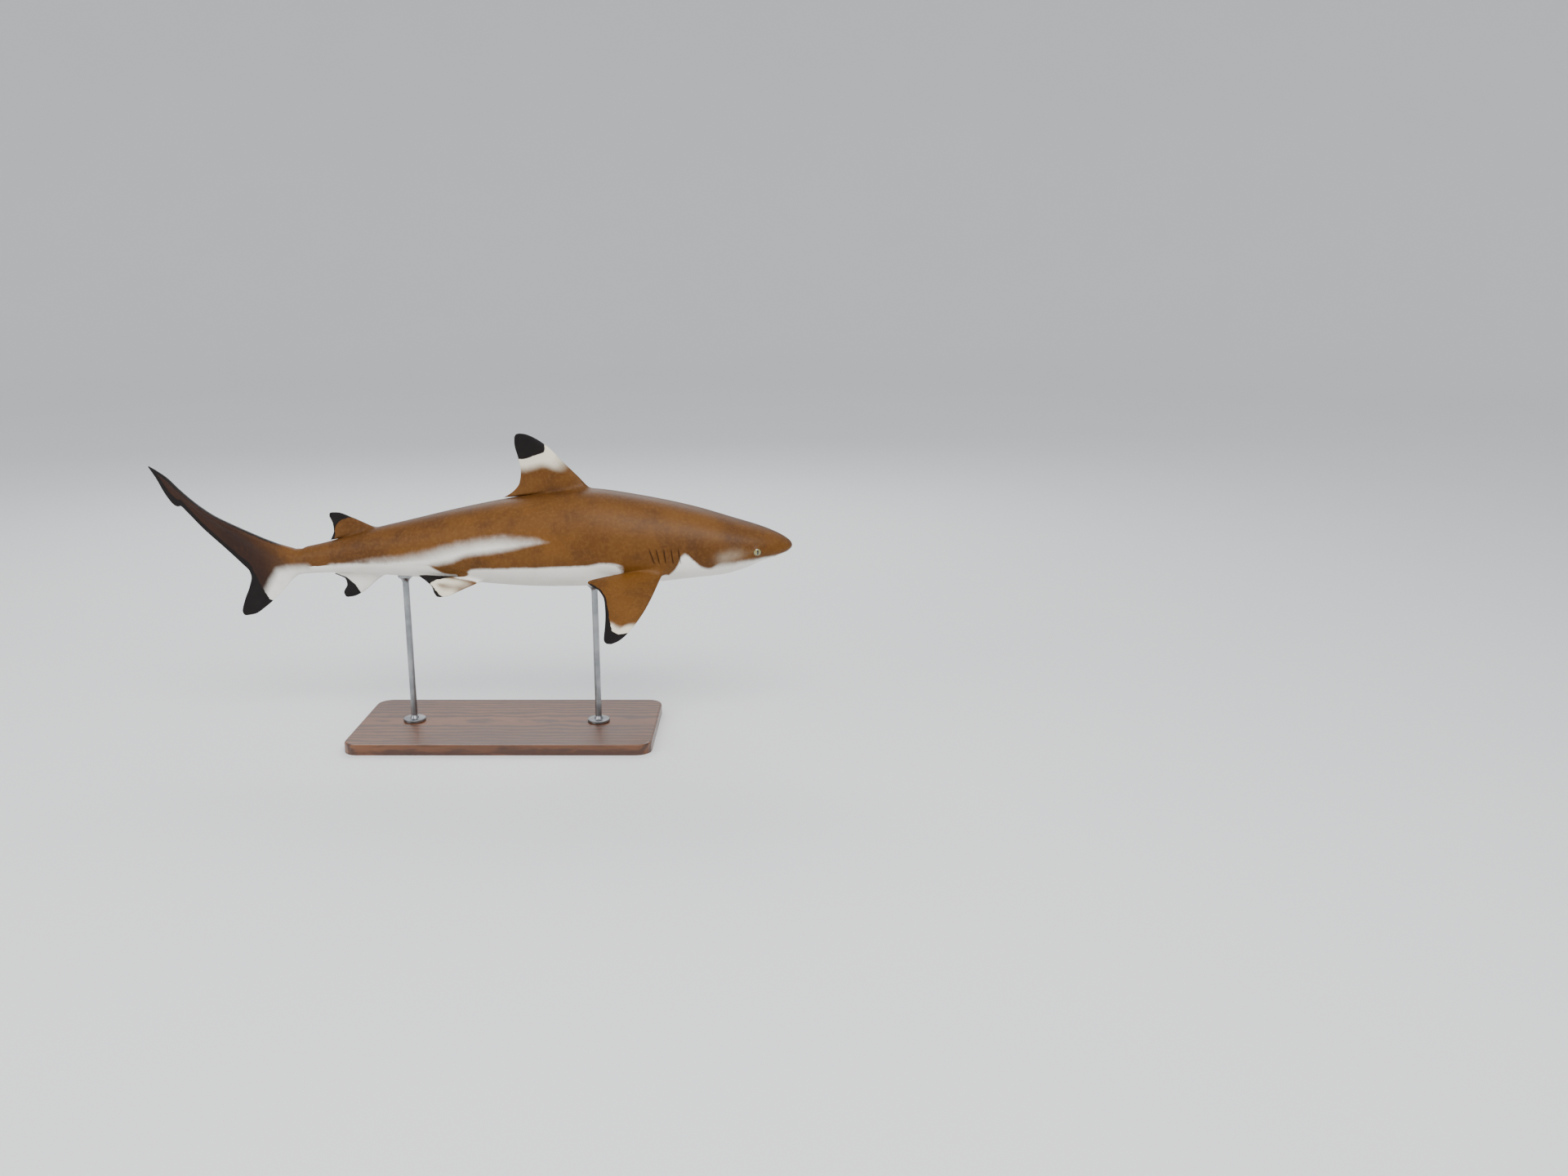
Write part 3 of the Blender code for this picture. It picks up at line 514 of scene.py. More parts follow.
# ---- The skin's mesh ----
class Skin:
    """One closed mesh: points in the fish's frame, what is known of each, faces and their map corners."""

    def __init__(self):
        self.points, self.facts = [], []
        self.faces, self.maps = {3: [], 4: []}, {3: [], 4: []}
        self.count = 0

    def add(self, points, **facts):
        """Adds points in an array of any shape and returns their numbers in that shape."""
        shape = points.shape[:-1]
        table = np.zeros(shape + (len(FACTS),))
        for name, values in facts.items():
            table[..., FACTS.index(name)] = values
        self.points.append(points.reshape(-1, 3))
        self.facts.append(table.reshape(-1, len(FACTS)))
        numbers = self.count + np.arange(int(np.prod(shape))).reshape(shape)
        self.count += numbers.size
        return numbers

    def face(self, corners, places):
        """Faces with three or four corners, each an array of point numbers, and the corners' map places."""
        size = len(corners)
        corners = np.stack(np.broadcast_arrays(*corners), -1)
        self.faces[size].append(corners.reshape(-1, size))
        places = np.broadcast_to(np.stack(places, -2), corners.shape + (2,))
        self.maps[size].append(places.reshape(-1, size, 2))

    def join(self, layers, places, shift=0.0):
        """Faces between closed rings of points that follow one another."""
        layers, places = np.array(layers), np.array(places)
        onward, beside = np.roll(layers, -1, 1), np.roll(places, -1, 1)
        self.face((layers[:-1], onward[:-1], onward[1:], layers[1:]),
                  (places[:-1] + shift, beside[:-1] + shift, beside[1:] + shift, places[1:] + shift))

    def known(self, numbers):
        """Points gathered so far, by number, and what is known of them."""
        return np.concatenate(self.points)[numbers], np.concatenate(self.facts)[numbers]

    def open_patch(self, foot, side):
        """Takes a patch of the body's faces out, on the left or mirrored to the right.

        Returns the points round it, down the near column, across the rear row, up the far column and back
        across the front row, and its steps aft and across."""
        front, rear, middle, half = foot
        i0, i1 = np.abs(self.rings - front).argmin(), np.abs(self.rings - rear).argmin()
        j0, j1 = int(round((middle - half) * RING / 360)), int(round((middle + half) * RING / 360))
        rows, columns = np.arange(i0, i1 + 1), side * np.arange(j0, j1 + 1) % RING
        wrapped = np.abs(columns[:-1] - columns[1:]) > 1
        cells = np.where(wrapped, RING - 1, np.minimum(columns[:-1], columns[1:]))
        self.kept[np.ix_(rows[:-1], cells)] = False
        across = np.ones(len(columns) - 2, int)
        i = np.concatenate([rows, i1 * across, rows[::-1], i0 * across])
        j = np.concatenate([columns[0] + 0 * rows, columns[1:-1], columns[-1] + 0 * rows, columns[-2:0:-1]])
        return self.numbers[i, j], i1 - i0, j1 - j0


def flat_body(along, degrees):
    """Map place of a point of the body: its length along the fish, and round it from the belly."""
    along, degrees = np.broadcast_arrays(along, degrees)
    return SKIN_EDGE + np.stack([along, (degrees + 180) / 360 * GIRTH], -1) / SKIN_WIDTH


def along_body(s):
    """Length laid flat up to s: longer than s on the snout, where the surface faces forward."""
    return s + SNOUT_SPREAD * _profile(np.sqrt(np.maximum(s, 0)))[..., 2]


def column_degrees():
    """Degrees of each of the body's points round from the back: those of the right side are below zero."""
    columns = np.arange(RING)
    return 360 / RING * np.where(columns < RING // 2, columns, columns - RING)


def body_grid(skin):
    """Adds the rings of the body and the tail, with their lengths laid flat."""
    angles = 2 * pi * np.arange(RING) / RING
    rings, rows = body_rows(), np.arange(1 + 1 / TAIL_STEPS, LAST_ROW + 1e-9, 1 / TAIL_STEPS)
    s = follow_folds(rings[:, None], angles)
    body = body_into_tail(s, (s - TAIL_ROWS[0][0]) / (TAIL_ROWS[1][0] - TAIL_ROWS[0][0]), angles)
    s_tail = (BODY_END + TAIL_ROW_STEP * (rows - 1))[:, None]
    tail = body_into_tail(np.minimum(s_tail, LAST_SECTION), rows[:, None], angles)
    grid = np.concatenate([body, tail])
    ring = np.concatenate([rings[:, None], s_tail]) + 0 * angles
    grid = grid + surface_normals(grid) * body_relief(ring, angles + 0 * ring, grid)[..., None]
    on_tail = np.arange(len(grid))[:, None] >= len(rings)
    row = np.concatenate([0 * rings, rows])[:, None]
    skin.rings, skin.kept = rings, np.ones((len(grid) - 1, RING), bool)
    skin.numbers = skin.add(grid, piece=on_tail, ring=ring, s=grid[..., 0], angle=angles, span=row)
    steps = np.linalg.norm(np.diff(tail.mean(1), axis=0), axis=-1)
    edges = np.linalg.norm(np.diff(tail[:, RING // 2], axis=0), axis=-1)
    spread = np.cumsum(np.append(0.004, (steps + edges) / 2))
    skin.flat = np.concatenate([along_body(s), along_body(s[-1]) + spread[:, None]])


def cover(skin):
    """Faces of the body's grid wherever no fin or eye takes their place."""
    i, j = np.nonzero(skin.kept)
    k = (j + 1) % RING
    numbers, flat = skin.numbers, skin.flat
    degrees = column_degrees()[j]
    after = degrees + 360 / RING
    skin.face((numbers[i, j], numbers[i, k], numbers[i + 1, k], numbers[i + 1, j]),
              (flat_body(flat[i, j], degrees), flat_body(flat[i, k], after),
               flat_body(flat[i + 1, k], after), flat_body(flat[i + 1, j], degrees)))


def close_ends(skin):
    """Fans over the tip of the snout and the tip of the tail."""
    degrees = column_degrees()
    tail_tip = skin.known(skin.numbers[-1])[0].mean(0, keepdims=True)
    snout = skin.add(np.zeros((1, 3)))
    tail = skin.add(tail_tip, piece=1, s=tail_tip[:, 0], span=LAST_ROW)
    for row, tip, tip_flat, way in ((0, snout, 0.0, 1), (-1, tail, TAIL_FLAT_END, -1)):
        ring = skin.numbers[row]
        places = (flat_body(tip_flat, degrees + 1), flat_body(skin.flat[row], degrees),
                  flat_body(skin.flat[row], degrees + 2))
        skin.face((tip + 0 * ring, ring, np.roll(ring, -1))[::way], places[::way])


# ---- Fins ----
def fin_axes(name):
    """Origin of a fin's own plane, and the directions aft and outward in it."""
    spec = FINS[name]
    lift, droop = radians(spec["rise"]), radians(spec["droop"])
    return (np.array(spec["origin"]), np.array((cos(lift), 0.0, sin(lift))),
            np.array((0.0, cos(droop), -sin(droop))))


def fin_span(name):
    """Length of a fin's leading edge, outward from its root."""
    lead = FINS[name]["lead"]
    return lead[-1][2] - lead[0][2]


def fin_shares(a, b):
    """Chord share and side of each point of a fin's section, in the order of the rim."""
    length = FIN_NOSE + (1 - 2 * FIN_NOSE) * np.arange(a + 1) / a
    turn = 1 - 2 * np.arange(1, b) / b
    chord = np.concatenate([length, 1 - FIN_NOSE * turn ** 2, length[::-1], FIN_NOSE * turn ** 2])
    side = np.concatenate([np.ones(a + 1), np.sign(turn), -np.ones(a + 1), -np.sign(turn)])
    return chord, side


def fin_blade(name, chord, side):
    """A fin's section, as a function of the share of its span."""
    spec = FINS[name]
    origin, aft, out = fin_axes(name)
    across = np.cross(aft, out)
    lead_at, rear_at = steady_curve(spec["lead"]), steady_curve(spec["rear"])
    foil = FOIL_FULLNESS * np.sqrt(chord) * (1 - chord)
    thin = FIN_EDGE * np.sqrt(np.clip(chord / EDGE_SHARE, 0, 1) * np.clip((1 - chord) / EDGE_SHARE, 0, 1))

    def at(t):
        t = np.broadcast_to(t, chord.shape)
        lead, rear = (origin + aft * edge[:, :1] + out * edge[:, 1:] for edge in (lead_at(t), rear_at(t)))
        offset = side * ((spec["thick"] * (1 - t) + TIP_CORE) * foil + thin)
        return lead + (rear - lead) * chord[:, None] + across * offset[:, None]
    return at


def turn_from(points, middle):
    """Angle of points round the body, from -180 to 180 degrees off the middle of a fin's root."""
    widest = _profile(np.sqrt(points[:, 0]))[:, 3]
    turn = np.arctan2(points[:, 1], points[:, 2] - widest) - middle
    return (turn + pi) % (2 * pi) - pi


def fin_rings(name, rim, chord, side):
    """Span shares and points of a fin's rings.

    The first ones follow the body inwards from the rim and turn up the fin. The rest go on to its tip."""
    blade, middle = fin_blade(name, chord, side), radians(FINS[name]["foot"][2])
    reach = FINS[name]["fillet"] / fin_span(name) * (1 - FILLET_TAPER * chord)
    base = blade(0.0)
    rim_turn, base_turn = turn_from(rim, middle), turn_from(base, middle)
    lift = rim - section(rim[:, 0], middle + rim_turn)
    for u in np.arange(1, FILLET_RINGS + 1) / FILLET_RINGS:
        drawn, turned = 1 - (1 - u) ** 2, rise(0, 1, u)
        s = rim[:, 0] + (base[:, 0] - rim[:, 0]) * drawn
        on_body = section(s, middle + rim_turn + (base_turn - rim_turn) * drawn) + lift * (1 - drawn)
        yield reach * u, on_body * (1 - turned) + blade(reach * u) * turned
    count = max(int(fin_span(name) / FIN_STEP), FEWEST_RINGS)
    for u in np.arange(1, count + 1) / count:
        t = reach + (1 - reach) * (0.4 * u + 0.3 * (1 - cos(pi * u)))       # closer at the root and the tip
        yield t, blade(t)


def grow_fin(skin, name, side, corner):
    """Draws a fin out of the body: its rim first follows the body, then narrows into the blade."""
    rim_numbers, a, b = skin.open_patch(FINS[name]["foot"], side)
    mirror = np.array((1.0, side, 1.0))
    rim, facts = skin.known(rim_numbers)
    chord, face = fin_shares(a, b)
    _, ring, _, angle, *_ = facts.T
    layers, places = [rim_numbers], [rim * mirror]
    for t, points in fin_rings(name, rim * mirror, chord, face):
        layers.append(skin.add(points * mirror, piece=PIECES.index(name), ring=ring, s=points[:, 0],
                               angle=angle, chord=chord, span=t, side=face))
        places.append(points)
    origin, aft, out = fin_axes(name)
    _, aft_start, out_start = FINS[name]["lead"][0]
    flat = np.array(places) - origin
    lay = np.stack([flat @ aft - aft_start, flat @ out - out_start], -1) * FIN_SCALE / SKIN_WIDTH
    start = np.arange(len(rim))
    near = (start < a + (b + 1) // 2) | (start >= 2 * a + b + (b + 1) // 2)
    skin.join(layers, lay, np.where(near[:, None], corner, np.add(corner, FIN_FAR_SIDE)))
    close_blade(skin, layers[-1], lay[-1] + np.array(corner), a, b)


def close_blade(skin, ring, lay, a, b):
    """Joins the two sides of a fin's last ring, from the leading edge to the rear edge."""
    m = len(ring)
    short = (b - 1) // 2
    near = np.concatenate([np.arange(m - short, m), np.arange(a + 1 + short)])
    far = (2 * a + b - near) % m
    corners = (near[:-1], near[1:], far[1:], far[:-1])
    skin.face([ring[c] for c in corners], [lay[c] for c in corners])
    if b % 2 == 0:
        for end, middle in ((0, m - b // 2), (-1, a + b // 2)):
            corners = np.array((near[end], middle, far[end]))
            skin.face([ring[c:c + 1] for c in corners], [lay[c:c + 1] for c in corners])


# ---- Eyes ----
def eye_seat():
    """Of the left eye: angle from the back, middle of the opening, outward normal, centre of the eyeball."""
    angles = np.radians(np.linspace(60, 120, 601))
    angle = angles[np.abs(section(EYE_S, angles)[:, 2] - EYE_H).argmin()]
    middle, normal = surface_point(np.array(EYE_S), np.array(angle))
    return angle, middle, normal, middle - normal * (EYE_R - EYE_PROUD)


def lid_points(u, angle):
    """Points of the lid, u aft of the eye's middle and at angles from the back, clear of the eyeball."""
    centre = eye_seat()[3]
    points, outward = surface_point(EYE_S + u, angle)
    gap = EYE_R + LID_THICK - np.linalg.norm(points - centre, axis=-1)
    return points + outward * (LID_SOFT * np.log1p(np.exp(gap / LID_SOFT)))[:, None]


def socket_rings(lid_edge):
    """Rings that roll the lid's edge inwards and close in behind the eyeball, to a point."""
    _, _, normal, centre = eye_seat()
    lid = lid_edge - centre
    depth = lid @ normal
    sideways = lid - depth[:, None] * normal
    polar = np.arctan2(np.linalg.norm(sideways, axis=-1), depth)
    sideways /= np.linalg.norm(sideways, axis=-1, keepdims=True)
    for turn, off in SOCKET:
        a = polar + turn
        yield centre + (EYE_R + off) * (np.cos(a)[:, None] * normal + np.sin(a)[:, None] * sideways)
    yield (centre - normal * (EYE_R + SOCKET_GAP))[None, :]


def seat_eye(skin, side):
    """Opens the skin round the eyeball: a raised rim, a rolled lid edge and the closed socket behind."""
    angle, middle = eye_seat()[:2]
    foot = (EYE_S - LID_PATCH, EYE_S + LID_PATCH, np.degrees(angle), LID_PATCH_DEGREES)
    rim_numbers = skin.open_patch(foot, side)[0]
    mirror, radius = np.array((1.0, side, 1.0)), np.linalg.norm(middle[1:])
    _, ring, s, around, *_ = skin.known(rim_numbers)[1].T
    around = fold_angle(around)
    u, v = s - EYE_S, (around - angle) * radius
    turn = np.arctan2(v / EYE_HALF_HEIGHT, u / EYE_HALF_LENGTH)
    goal_u, goal_v = EYE_HALF_LENGTH * np.cos(turn), EYE_HALF_HEIGHT * np.sin(turn)

    def laid(u, v):
        spot = flat_body(along_body(EYE_S + u), np.degrees(angle + v / radius))
        return spot if side > 0 else spot * (1, -1) + (0, 2 * SKIN_EDGE + GIRTH / SKIN_WIDTH)
    layers, places = [rim_numbers], [laid(u, v)]
    for w in 1 - (1 - np.arange(1, LID_RINGS + 1) / LID_RINGS) ** 1.5:
        uw, vw = u + (goal_u - u) * w, v + (goal_v - v) * w
        lid = lid_points(uw, angle + vw / radius)
        layers.append(skin.add(lid * mirror, piece=EYE, ring=EYE_S + uw + ring - s, s=EYE_S + uw,
                               angle=angle + vw / radius, chord=w))
        places.append(laid(uw, vw))
    *socket, back = socket_rings(lid)
    for k, points in enumerate(socket, 1):
        shrink = 0.98 - 0.9 * k / (len(socket) + 1)
        layers.append(skin.add(points * mirror, piece=EYE, ring=EYE_S, s=EYE_S, angle=around, chord=1 + k))
        places.append(laid(uw * shrink, vw * shrink))
    skin.join(layers, places)
    back = skin.add(back * mirror, piece=EYE, chord=BEHIND_EYE)
    edge, edge_places = layers[-1], places[-1]
    heart = np.broadcast_to(edge_places.mean(0), edge_places.shape)
    skin.face((back + 0 * edge, edge, np.roll(edge, -1)), (heart, edge_places, np.roll(edge_places, -1, 0)))


# ---- Bringing the skin together ----
def build_skin():
    """The whole fish but its eyeballs, as one closed mesh."""
    skin = Skin()
    body_grid(skin)
    for side in SIDE_NAMES:
        seat_eye(skin, side)
    for name, corners in FIN_CORNERS.items():
        for side, corner in zip(SIDE_NAMES, corners):
            grow_fin(skin, name, side, corner)
    cover(skin)
    close_ends(skin)
    return skin


def smooth_mesh(name, points, faces, numbers, places=None):
    """Smooth mesh of points and faces, with numbers on its points and, on the skin, its map."""
    mesh = bpy.data.meshes.new(name)
    mesh.from_pydata(points, [], faces)
    if places is not None:
        mesh.uv_layers.new(name="OFBake").data.foreach_set("uv", places.astype(np.float32).ravel())
    for label, values in numbers.items():
        layer = mesh.attributes.new(label, "FLOAT", "POINT")
        layer.data.foreach_set("value", np.asarray(values, np.float32))
    work = bmesh.new()
    work.from_mesh(mesh)
    bmesh.ops.recalc_face_normals(work, faces=work.faces)
    work.to_mesh(mesh)
    work.free()
    mesh.shade_smooth()
    return mesh


def skin_mesh(skin):
    """Mesh of the gathered faces, with its map and the marks of each point."""
    faces = [np.concatenate(skin.faces[size]) for size in (4, 3)]
    places = np.concatenate([np.concatenate(skin.maps[size]).reshape(-1, 2) for size in (4, 3)])
    used = np.zeros(skin.count, bool)
    for numbers in faces:
        used[numbers] = True
    renumber = np.cumsum(used) - 1
    faces = [face for numbers in faces for face in renumber[numbers].tolist()]
    points, facts = skin.known(used)
    return smooth_mesh("skin", place(points), faces, marks(points, facts), places)


# ---- Markings, and painted shade ----
def known_of(points, facts):
    """What the markings need of each point, by name."""
    known = SimpleNamespace(points=points, **dict(zip(FACTS, facts.T)))
    known.aft, known.h = points[:, 0], points[:, 2]
    known.girth = np.degrees(fold_angle(known.angle))
    known.on = {name: known.piece == number for number, name in enumerate(PIECES)}
    known.body, known.tail, known.fins = known.on["body"], known.on["tail"], known.piece > EYE
    known.row, known.down = np.where(known.tail, known.span, 0), (1 - np.cos(known.angle)) / 2
    return known


def body_white(known):
    """How far inside the belly's white or the flank's streak each point of the body is."""
    s, degrees = known.ring, known.girth
    back, belly, half_w = np.moveaxis(_profile(np.sqrt(np.clip(s, 0, STATIONS[-1][0])))[..., :3], -1, 0)
    reach = np.radians(1) * (half_w + (back - belly) / 2) / 2
    belly_white = (degrees - steady_curve(BELLY_LINE)(s)[..., 0]) * reach
    upper, lower = np.moveaxis(steady_curve(STREAK)(s), -1, 0)
    soft = STREAK_SLOPE * (degrees - upper) * reach - STREAK_INSET
    streak = np.minimum(soft, (lower - degrees) * reach) - STREAK_POINT * (1 - rise(0.45, 0.60, s))
    streak = np.where((s > STREAK[0][0]) & (s < STREAK[-1][0]), streak, OUTSIDE)
    snout = -known.h - SNOUT_WHITE + 0.05 * rise(0.012, 0.040, known.aft)
    return np.minimum(np.maximum(belly_white, streak), snout)


def tail_white(known, white):
    """The body's white, running into the pale root of the tail's lower lobe."""
    pale = -beyond(known.aft, known.h, LOBE_PALE)
    white = np.where(known.tail, np.where(known.row < LOBE_ROWS, pale, OUTSIDE), white)
    blend = rise(0.93, BODY_END, known.aft) * known.body
    return white * (1 - blend) + pale * blend


def tail_black(known):
    """Black along the tail's edges and over the tip of its lower lobe."""
    s_up, h_up, s_low, h_low, _ = np.moveaxis(_tail(known.row), -1, 0)
    row, full = known.row, np.hypot(s_low - s_up, h_low - h_up)
    behind = steady_curve(BLACK_EDGE)(row)[:, 0] - (1 - known.down) * full
    ahead = 0.0020 * rise(5, 9, row) + 0.0030 * rise(13, 18, row) - known.down * full - 0.003 * (row < 5)
    tip = np.where(row < 12, beyond(known.aft, known.h, LOBE_LINE), OUTSIDE)
    black = np.maximum(np.where(row > 9, behind, OUTSIDE), np.maximum(tip, ahead))
    return np.where(known.tail, black, OUTSIDE)


def fin_marks(known, name, white, black, band):
    """Adds one fin's black tip, its pale band, and the white of its underside or of the whole fin."""
    on = known.on[name]
    chord, span, side = known.chord[on], known.span[on], known.side[on]
    origin, aft, out = fin_axes(name)
    folded = known.points[on] * np.where((known.points[on, 1:2] < 0) & (origin[1] > 0), (1, -1, 1), 1)
    back, outward = (folded - origin) @ aft, (folded - origin) @ out
    past, behind = beyond(back, outward, TIP_LINES[name]), back - (FINS[name]["foot"][1] - origin[0])
    black[on] = np.where((span > 0.02) | (behind > 0.003), past, OUTSIDE)
    if name in PALE_REACH:
        free_tip = rise(-0.006, 0.008, behind) * rise(0.0, 0.035, span)
        grown = np.maximum(rise(0.04, 0.22, span), free_tip)
        white[on] = white[on] * (1 - grown) + np.where(side < 0, 1, -1) * UNDERSIDE * grown
        low, high, depth = PALE_REACH[name]
        near = np.clip(1.15 + past / (depth * (1 + 1.6 * rise(0.75, 0.15, chord))), 0, 1)
        band[on] = np.where((side > 0) & (past < UNDER_TIP), near * rise(low, high, span), 0)
    elif name == "dorsal_fin_first":
        fade = 0.030 + 0.028 * rise(0.45, 0.05, chord)
        band[on] = np.clip(1.15 + past / fade, 0, 1) * (past < UNDER_TIP)
    elif name == "anal_fin":
        white[on] = np.where(span > 0, ANAL_WHITE, white[on])


def groove_shade(known):
    """How deep each point is inside a gill slit, the mouth, a nostril or an eye's socket: painted shade that
    darkens these hollows.
    """
    slits = sum(bell(known.ring - slit - 0.0004, 0.0011) for slit in SLITS)
    slits = slits * (1 - rise(0.60, 0.95, np.abs(known.h - SLIT_H) / SLIT_HALF))
    mouth = bell(known.ring - MOUTH_BASE, 0.0019)
    mouth = mouth * (1 - rise(MOUTH_CORNER - 4, MOUTH_CORNER + 2, 180 - known.girth))
    nostril = bell(nostril_gap(known.aft, known.points[:, 1]), 0.0018) * (known.h < -0.002)
    socket = np.where(known.on["eye"] & (known.chord > 1), rise(1, 3, known.chord), 0)
    return np.maximum(known.body * np.maximum.reduce([slits, mouth, nostril]), socket)


def cheek(known):
    """How near each point is to the pale patch behind the eye, along the fish."""
    return np.where(known.body | known.on["eye"], bell(known.ring - CHEEK_S, CHEEK_HALF), 0)


def softness(known):
    """How much softer the white's edge is than the plain one."""
    above = rise(1, 13, steady_curve(BELLY_LINE)(known.ring)[:, 0] - known.girth)
    trunk = np.where(known.on["pelvic_fin"], rise(0.25, 0.0, known.span), known.body)
    streak = STREAK_SOFT * trunk * above * rise(0.44, 0.52, known.ring) * rise(0.95, 0.80, known.ring)
    stalk = STALK_SOFT * rise(0.90, 0.985, known.aft) * known.body
    lobe = STALK_SOFT * rise(10, 8, known.row)
    soft = np.where(known.tail, lobe, np.maximum(streak, stalk))
    return np.maximum(soft, CHEEK_SOFT * cheek(known))


def lateral_line(known):
    """Distance from the fine line along the flank, which fades in over the gills."""
    line = steady_curve(LATERAL_LINE)(known.aft)[:, 0]
    off = np.where(known.body, 0.004 * rise(0.30, 0.19, known.aft), 1)
    return np.clip(np.abs(known.h - line) + off, 0, 0.05)


def marks(points, facts):
    """Marks of every point: white and black are metres inside their edge, the lateral line and the white
    edge's softness are metres, and the rest are shares."""
    known = known_of(points, facts)
    body, tail, fins, row = known.body, known.tail, known.fins, known.row
    white, black, band = tail_white(known, body_white(known)), tail_black(known), np.zeros(len(points))
    for name in TIP_LINES:
        fin_marks(known, name, white, black, band)
    cheek_band = CHEEK_PALE * cheek(known) * bell(known.girth - CHEEK_DEGREES, CHEEK_SPREAD)
    # How far the painted shade down the top of the back reaches: the body short of the tail, and the fins
    # near their roots.
    back = body * rise(1.0, 0.92, known.ring) + fins * rise(0.22, 0.0, known.span)
    return {
        "white": white, "black": black, "band": np.maximum(band, cheek_band),
        # Painted shade follows: over the tail, in the hollows of the head and down the top of the back.
        "tail_shade": TAIL_SHADE * rise(*TAIL_SHADE_REACH, known.aft - 0.5 * known.h), "groove": groove_shade(known),
        "ridge_shade": (1 - rise(0, SHADED_RIDGE_DEGREES, known.girth)) * back, "blur": softness(known),
        "lateral": lateral_line(known),
        "pores": body * rise(0.105, 0.045, known.aft) * rise(55, 85, known.girth),
        "ray": np.where(fins, known.chord, tail * row / LAST_ROW),
        "reach": np.where(fins, known.span, tail * known.down),
        "rays": fins * rise(0.04, 0.25, known.span) + tail * rise(2, 5, row),
    }


# ---- Materials ----
def both_ways(operation):
    """An operator of Value and its reflected form, as in 1 - mask; either adds a Math node."""
    def plain(self, other):
        return self.finish.node("ShaderNodeMath", {"operation": operation}, {0: self, 1: other})

    def reflected(self, other):
        return self.finish.node("ShaderNodeMath", {"operation": operation}, {0: other, 1: self})
    return plain, reflected


class Value:
    """A number inside a material: arithmetic on it adds the nodes that do it."""

    def __init__(self, finish, socket):
        self.finish, self.socket = finish, socket

    __add__, __radd__ = both_ways("ADD")
    __sub__, __rsub__ = both_ways("SUBTRACT")
    __mul__, __rmul__ = both_ways("MULTIPLY")
    __truediv__, __rtruediv__ = both_ways("DIVIDE")
    __pow__, __rpow__ = both_ways("POWER")

    def step(self, low, high):
        """0 at low and 1 at high, smooth between."""
        return self.finish.node("ShaderNodeMapRange", {"interpolation_type": "SMOOTHSTEP"},
                                {"Value": self, "From Min": low, "From Max": high})


class Finish:
    """A material under construction."""

    def __init__(self, name):
        self.material = bpy.data.materials.new(name)
        self.material.use_nodes = True
        self.tree = self.material.node_tree
        self.shader = self.tree.nodes["Principled BSDF"]
        self.place = self.node("ShaderNodeTexCoord", {}, {}, "Object")

    def set(self, socket, value):
        if isinstance(value, Value):
            self.tree.links.new(value.socket, socket)
        else:
            socket.default_value = value

    def node(self, kind, settings, values, output=0):
        made = self.tree.nodes.new(kind)
        for name, value in settings.items():
            setattr(made, name, value)
        for name, value in values.items():
            self.set(made.inputs[name], value)
        return Value(self, made.outputs[output])

    def mark(self, name):
        return self.node("ShaderNodeAttribute", {"attribute_name": name}, {}, "Fac")

    def noise(self, scale, detail=3.0, rough=0.5, at=None):
        return self.node("ShaderNodeTexNoise", {}, {"Vector": at or self.place, "Scale": scale,
                                                    "Detail": detail, "Roughness": rough}, "Fac")

    def cells(self, scale):
        return self.node("ShaderNodeTexVoronoi", {}, {"Vector": self.place, "Scale": scale}, "Distance")

    def mix(self, share, first, second):
        """Colour between two colours."""
        return self.node("ShaderNodeMix", {"data_type": "RGBA"}, {0: share, 6: first, 7: second}, 2)

    def vector(self, x, y, z):
        return self.node("ShaderNodeCombineXYZ", {}, {0: x, 1: y, 2: z})

    def stretch(self, factors):
        return self.node("ShaderNodeVectorMath", {"operation": "MULTIPLY"}, {0: self.place, 1: factors})

    def bump(self, height, depth):
        return self.node("ShaderNodeBump", {}, {"Strength": 1.0, "Distance": depth, "Height": height})

    def done(self, **values):
        """Sets the shader's sockets; an underscore in a name stands for a space."""
        for name, value in values.items():
            self.set(self.shader.inputs[name.replace("_", " ")], value)
        return self.material


def colour(red, green, blue):
    """Colour from display values of 0 to 255."""
    part = [v / 255 for v in (red, green, blue)]
    return (*[v / 12.92 if v <= 0.04045 else ((v + 0.055) / 1.055) ** 2.4 for v in part], 1.0)


def bronze_back(f, mottle, fine, rays, strands):
    """Mottled bronze with painted shade down the top of the back and over the tail, streaked along the fins.
    """
    bronze = f.mix(f.noise(5.5, 4).step(0.32, 0.68), colour(80, 46, 8), colour(104, 65, 18))
    bronze = f.mix(mottle.step(0.46, 0.72) * 0.45, bronze, colour(62, 34, 12))
    # Painted shade down the top of the back.
    bronze = f.mix(f.mark("ridge_shade") * 0.70, bronze, colour(58, 31, 12))
    bronze = f.mix(fine.step(0.42, 0.70) * 0.20, bronze, colour(130, 92, 46))
    # Painted shade over the tail, darkening it towards a deep maroon brown.
    bronze = f.mix(f.mark("tail_shade"), bronze, colour(28, 9, 9))
    return f.mix(rays * strands.step(0.50, 0.72) * 0.22, bronze, colour(66, 39, 18))


def white_belly(f, back, mottle, fine):
    """White belly and flank streak over the bronze, with a ragged edge, and the cream bands on the fins."""
    chalk = f.mix(mottle.step(0.40, 0.75) * 0.30, colour(231, 228, 219), colour(206, 203, 192))
    ragged = (f.noise(48, 4, 0.65) - 0.5) * 0.0055 + (fine - 0.5) * 0.0022
    soft_edge = 0.0042 + f.mark("blur")
    skin = f.mix((f.mark("white") + ragged).step(0.0 - soft_edge, soft_edge), back, chalk)
    band = f.mark("band")
    band = (band * 1.15 + (mottle - 0.5) * band).step(0.10, 0.95)
    return f.mix(band, skin, colour(228, 219, 196))


def black_tips(f, skin, fine):
    """Black tips and edges of the fins, with a jagged border."""
    jagged = (f.noise(120, 3, 0.6) - 0.5) * 0.0042 + (fine - 0.5) * 0.0012
    black = f.mix(fine.step(0.4, 0.7), colour(9, 3, 3), colour(15, 6, 5))
    return f.mix((f.mark("black") + jagged).step(-0.0009, 0.0009), skin, black)


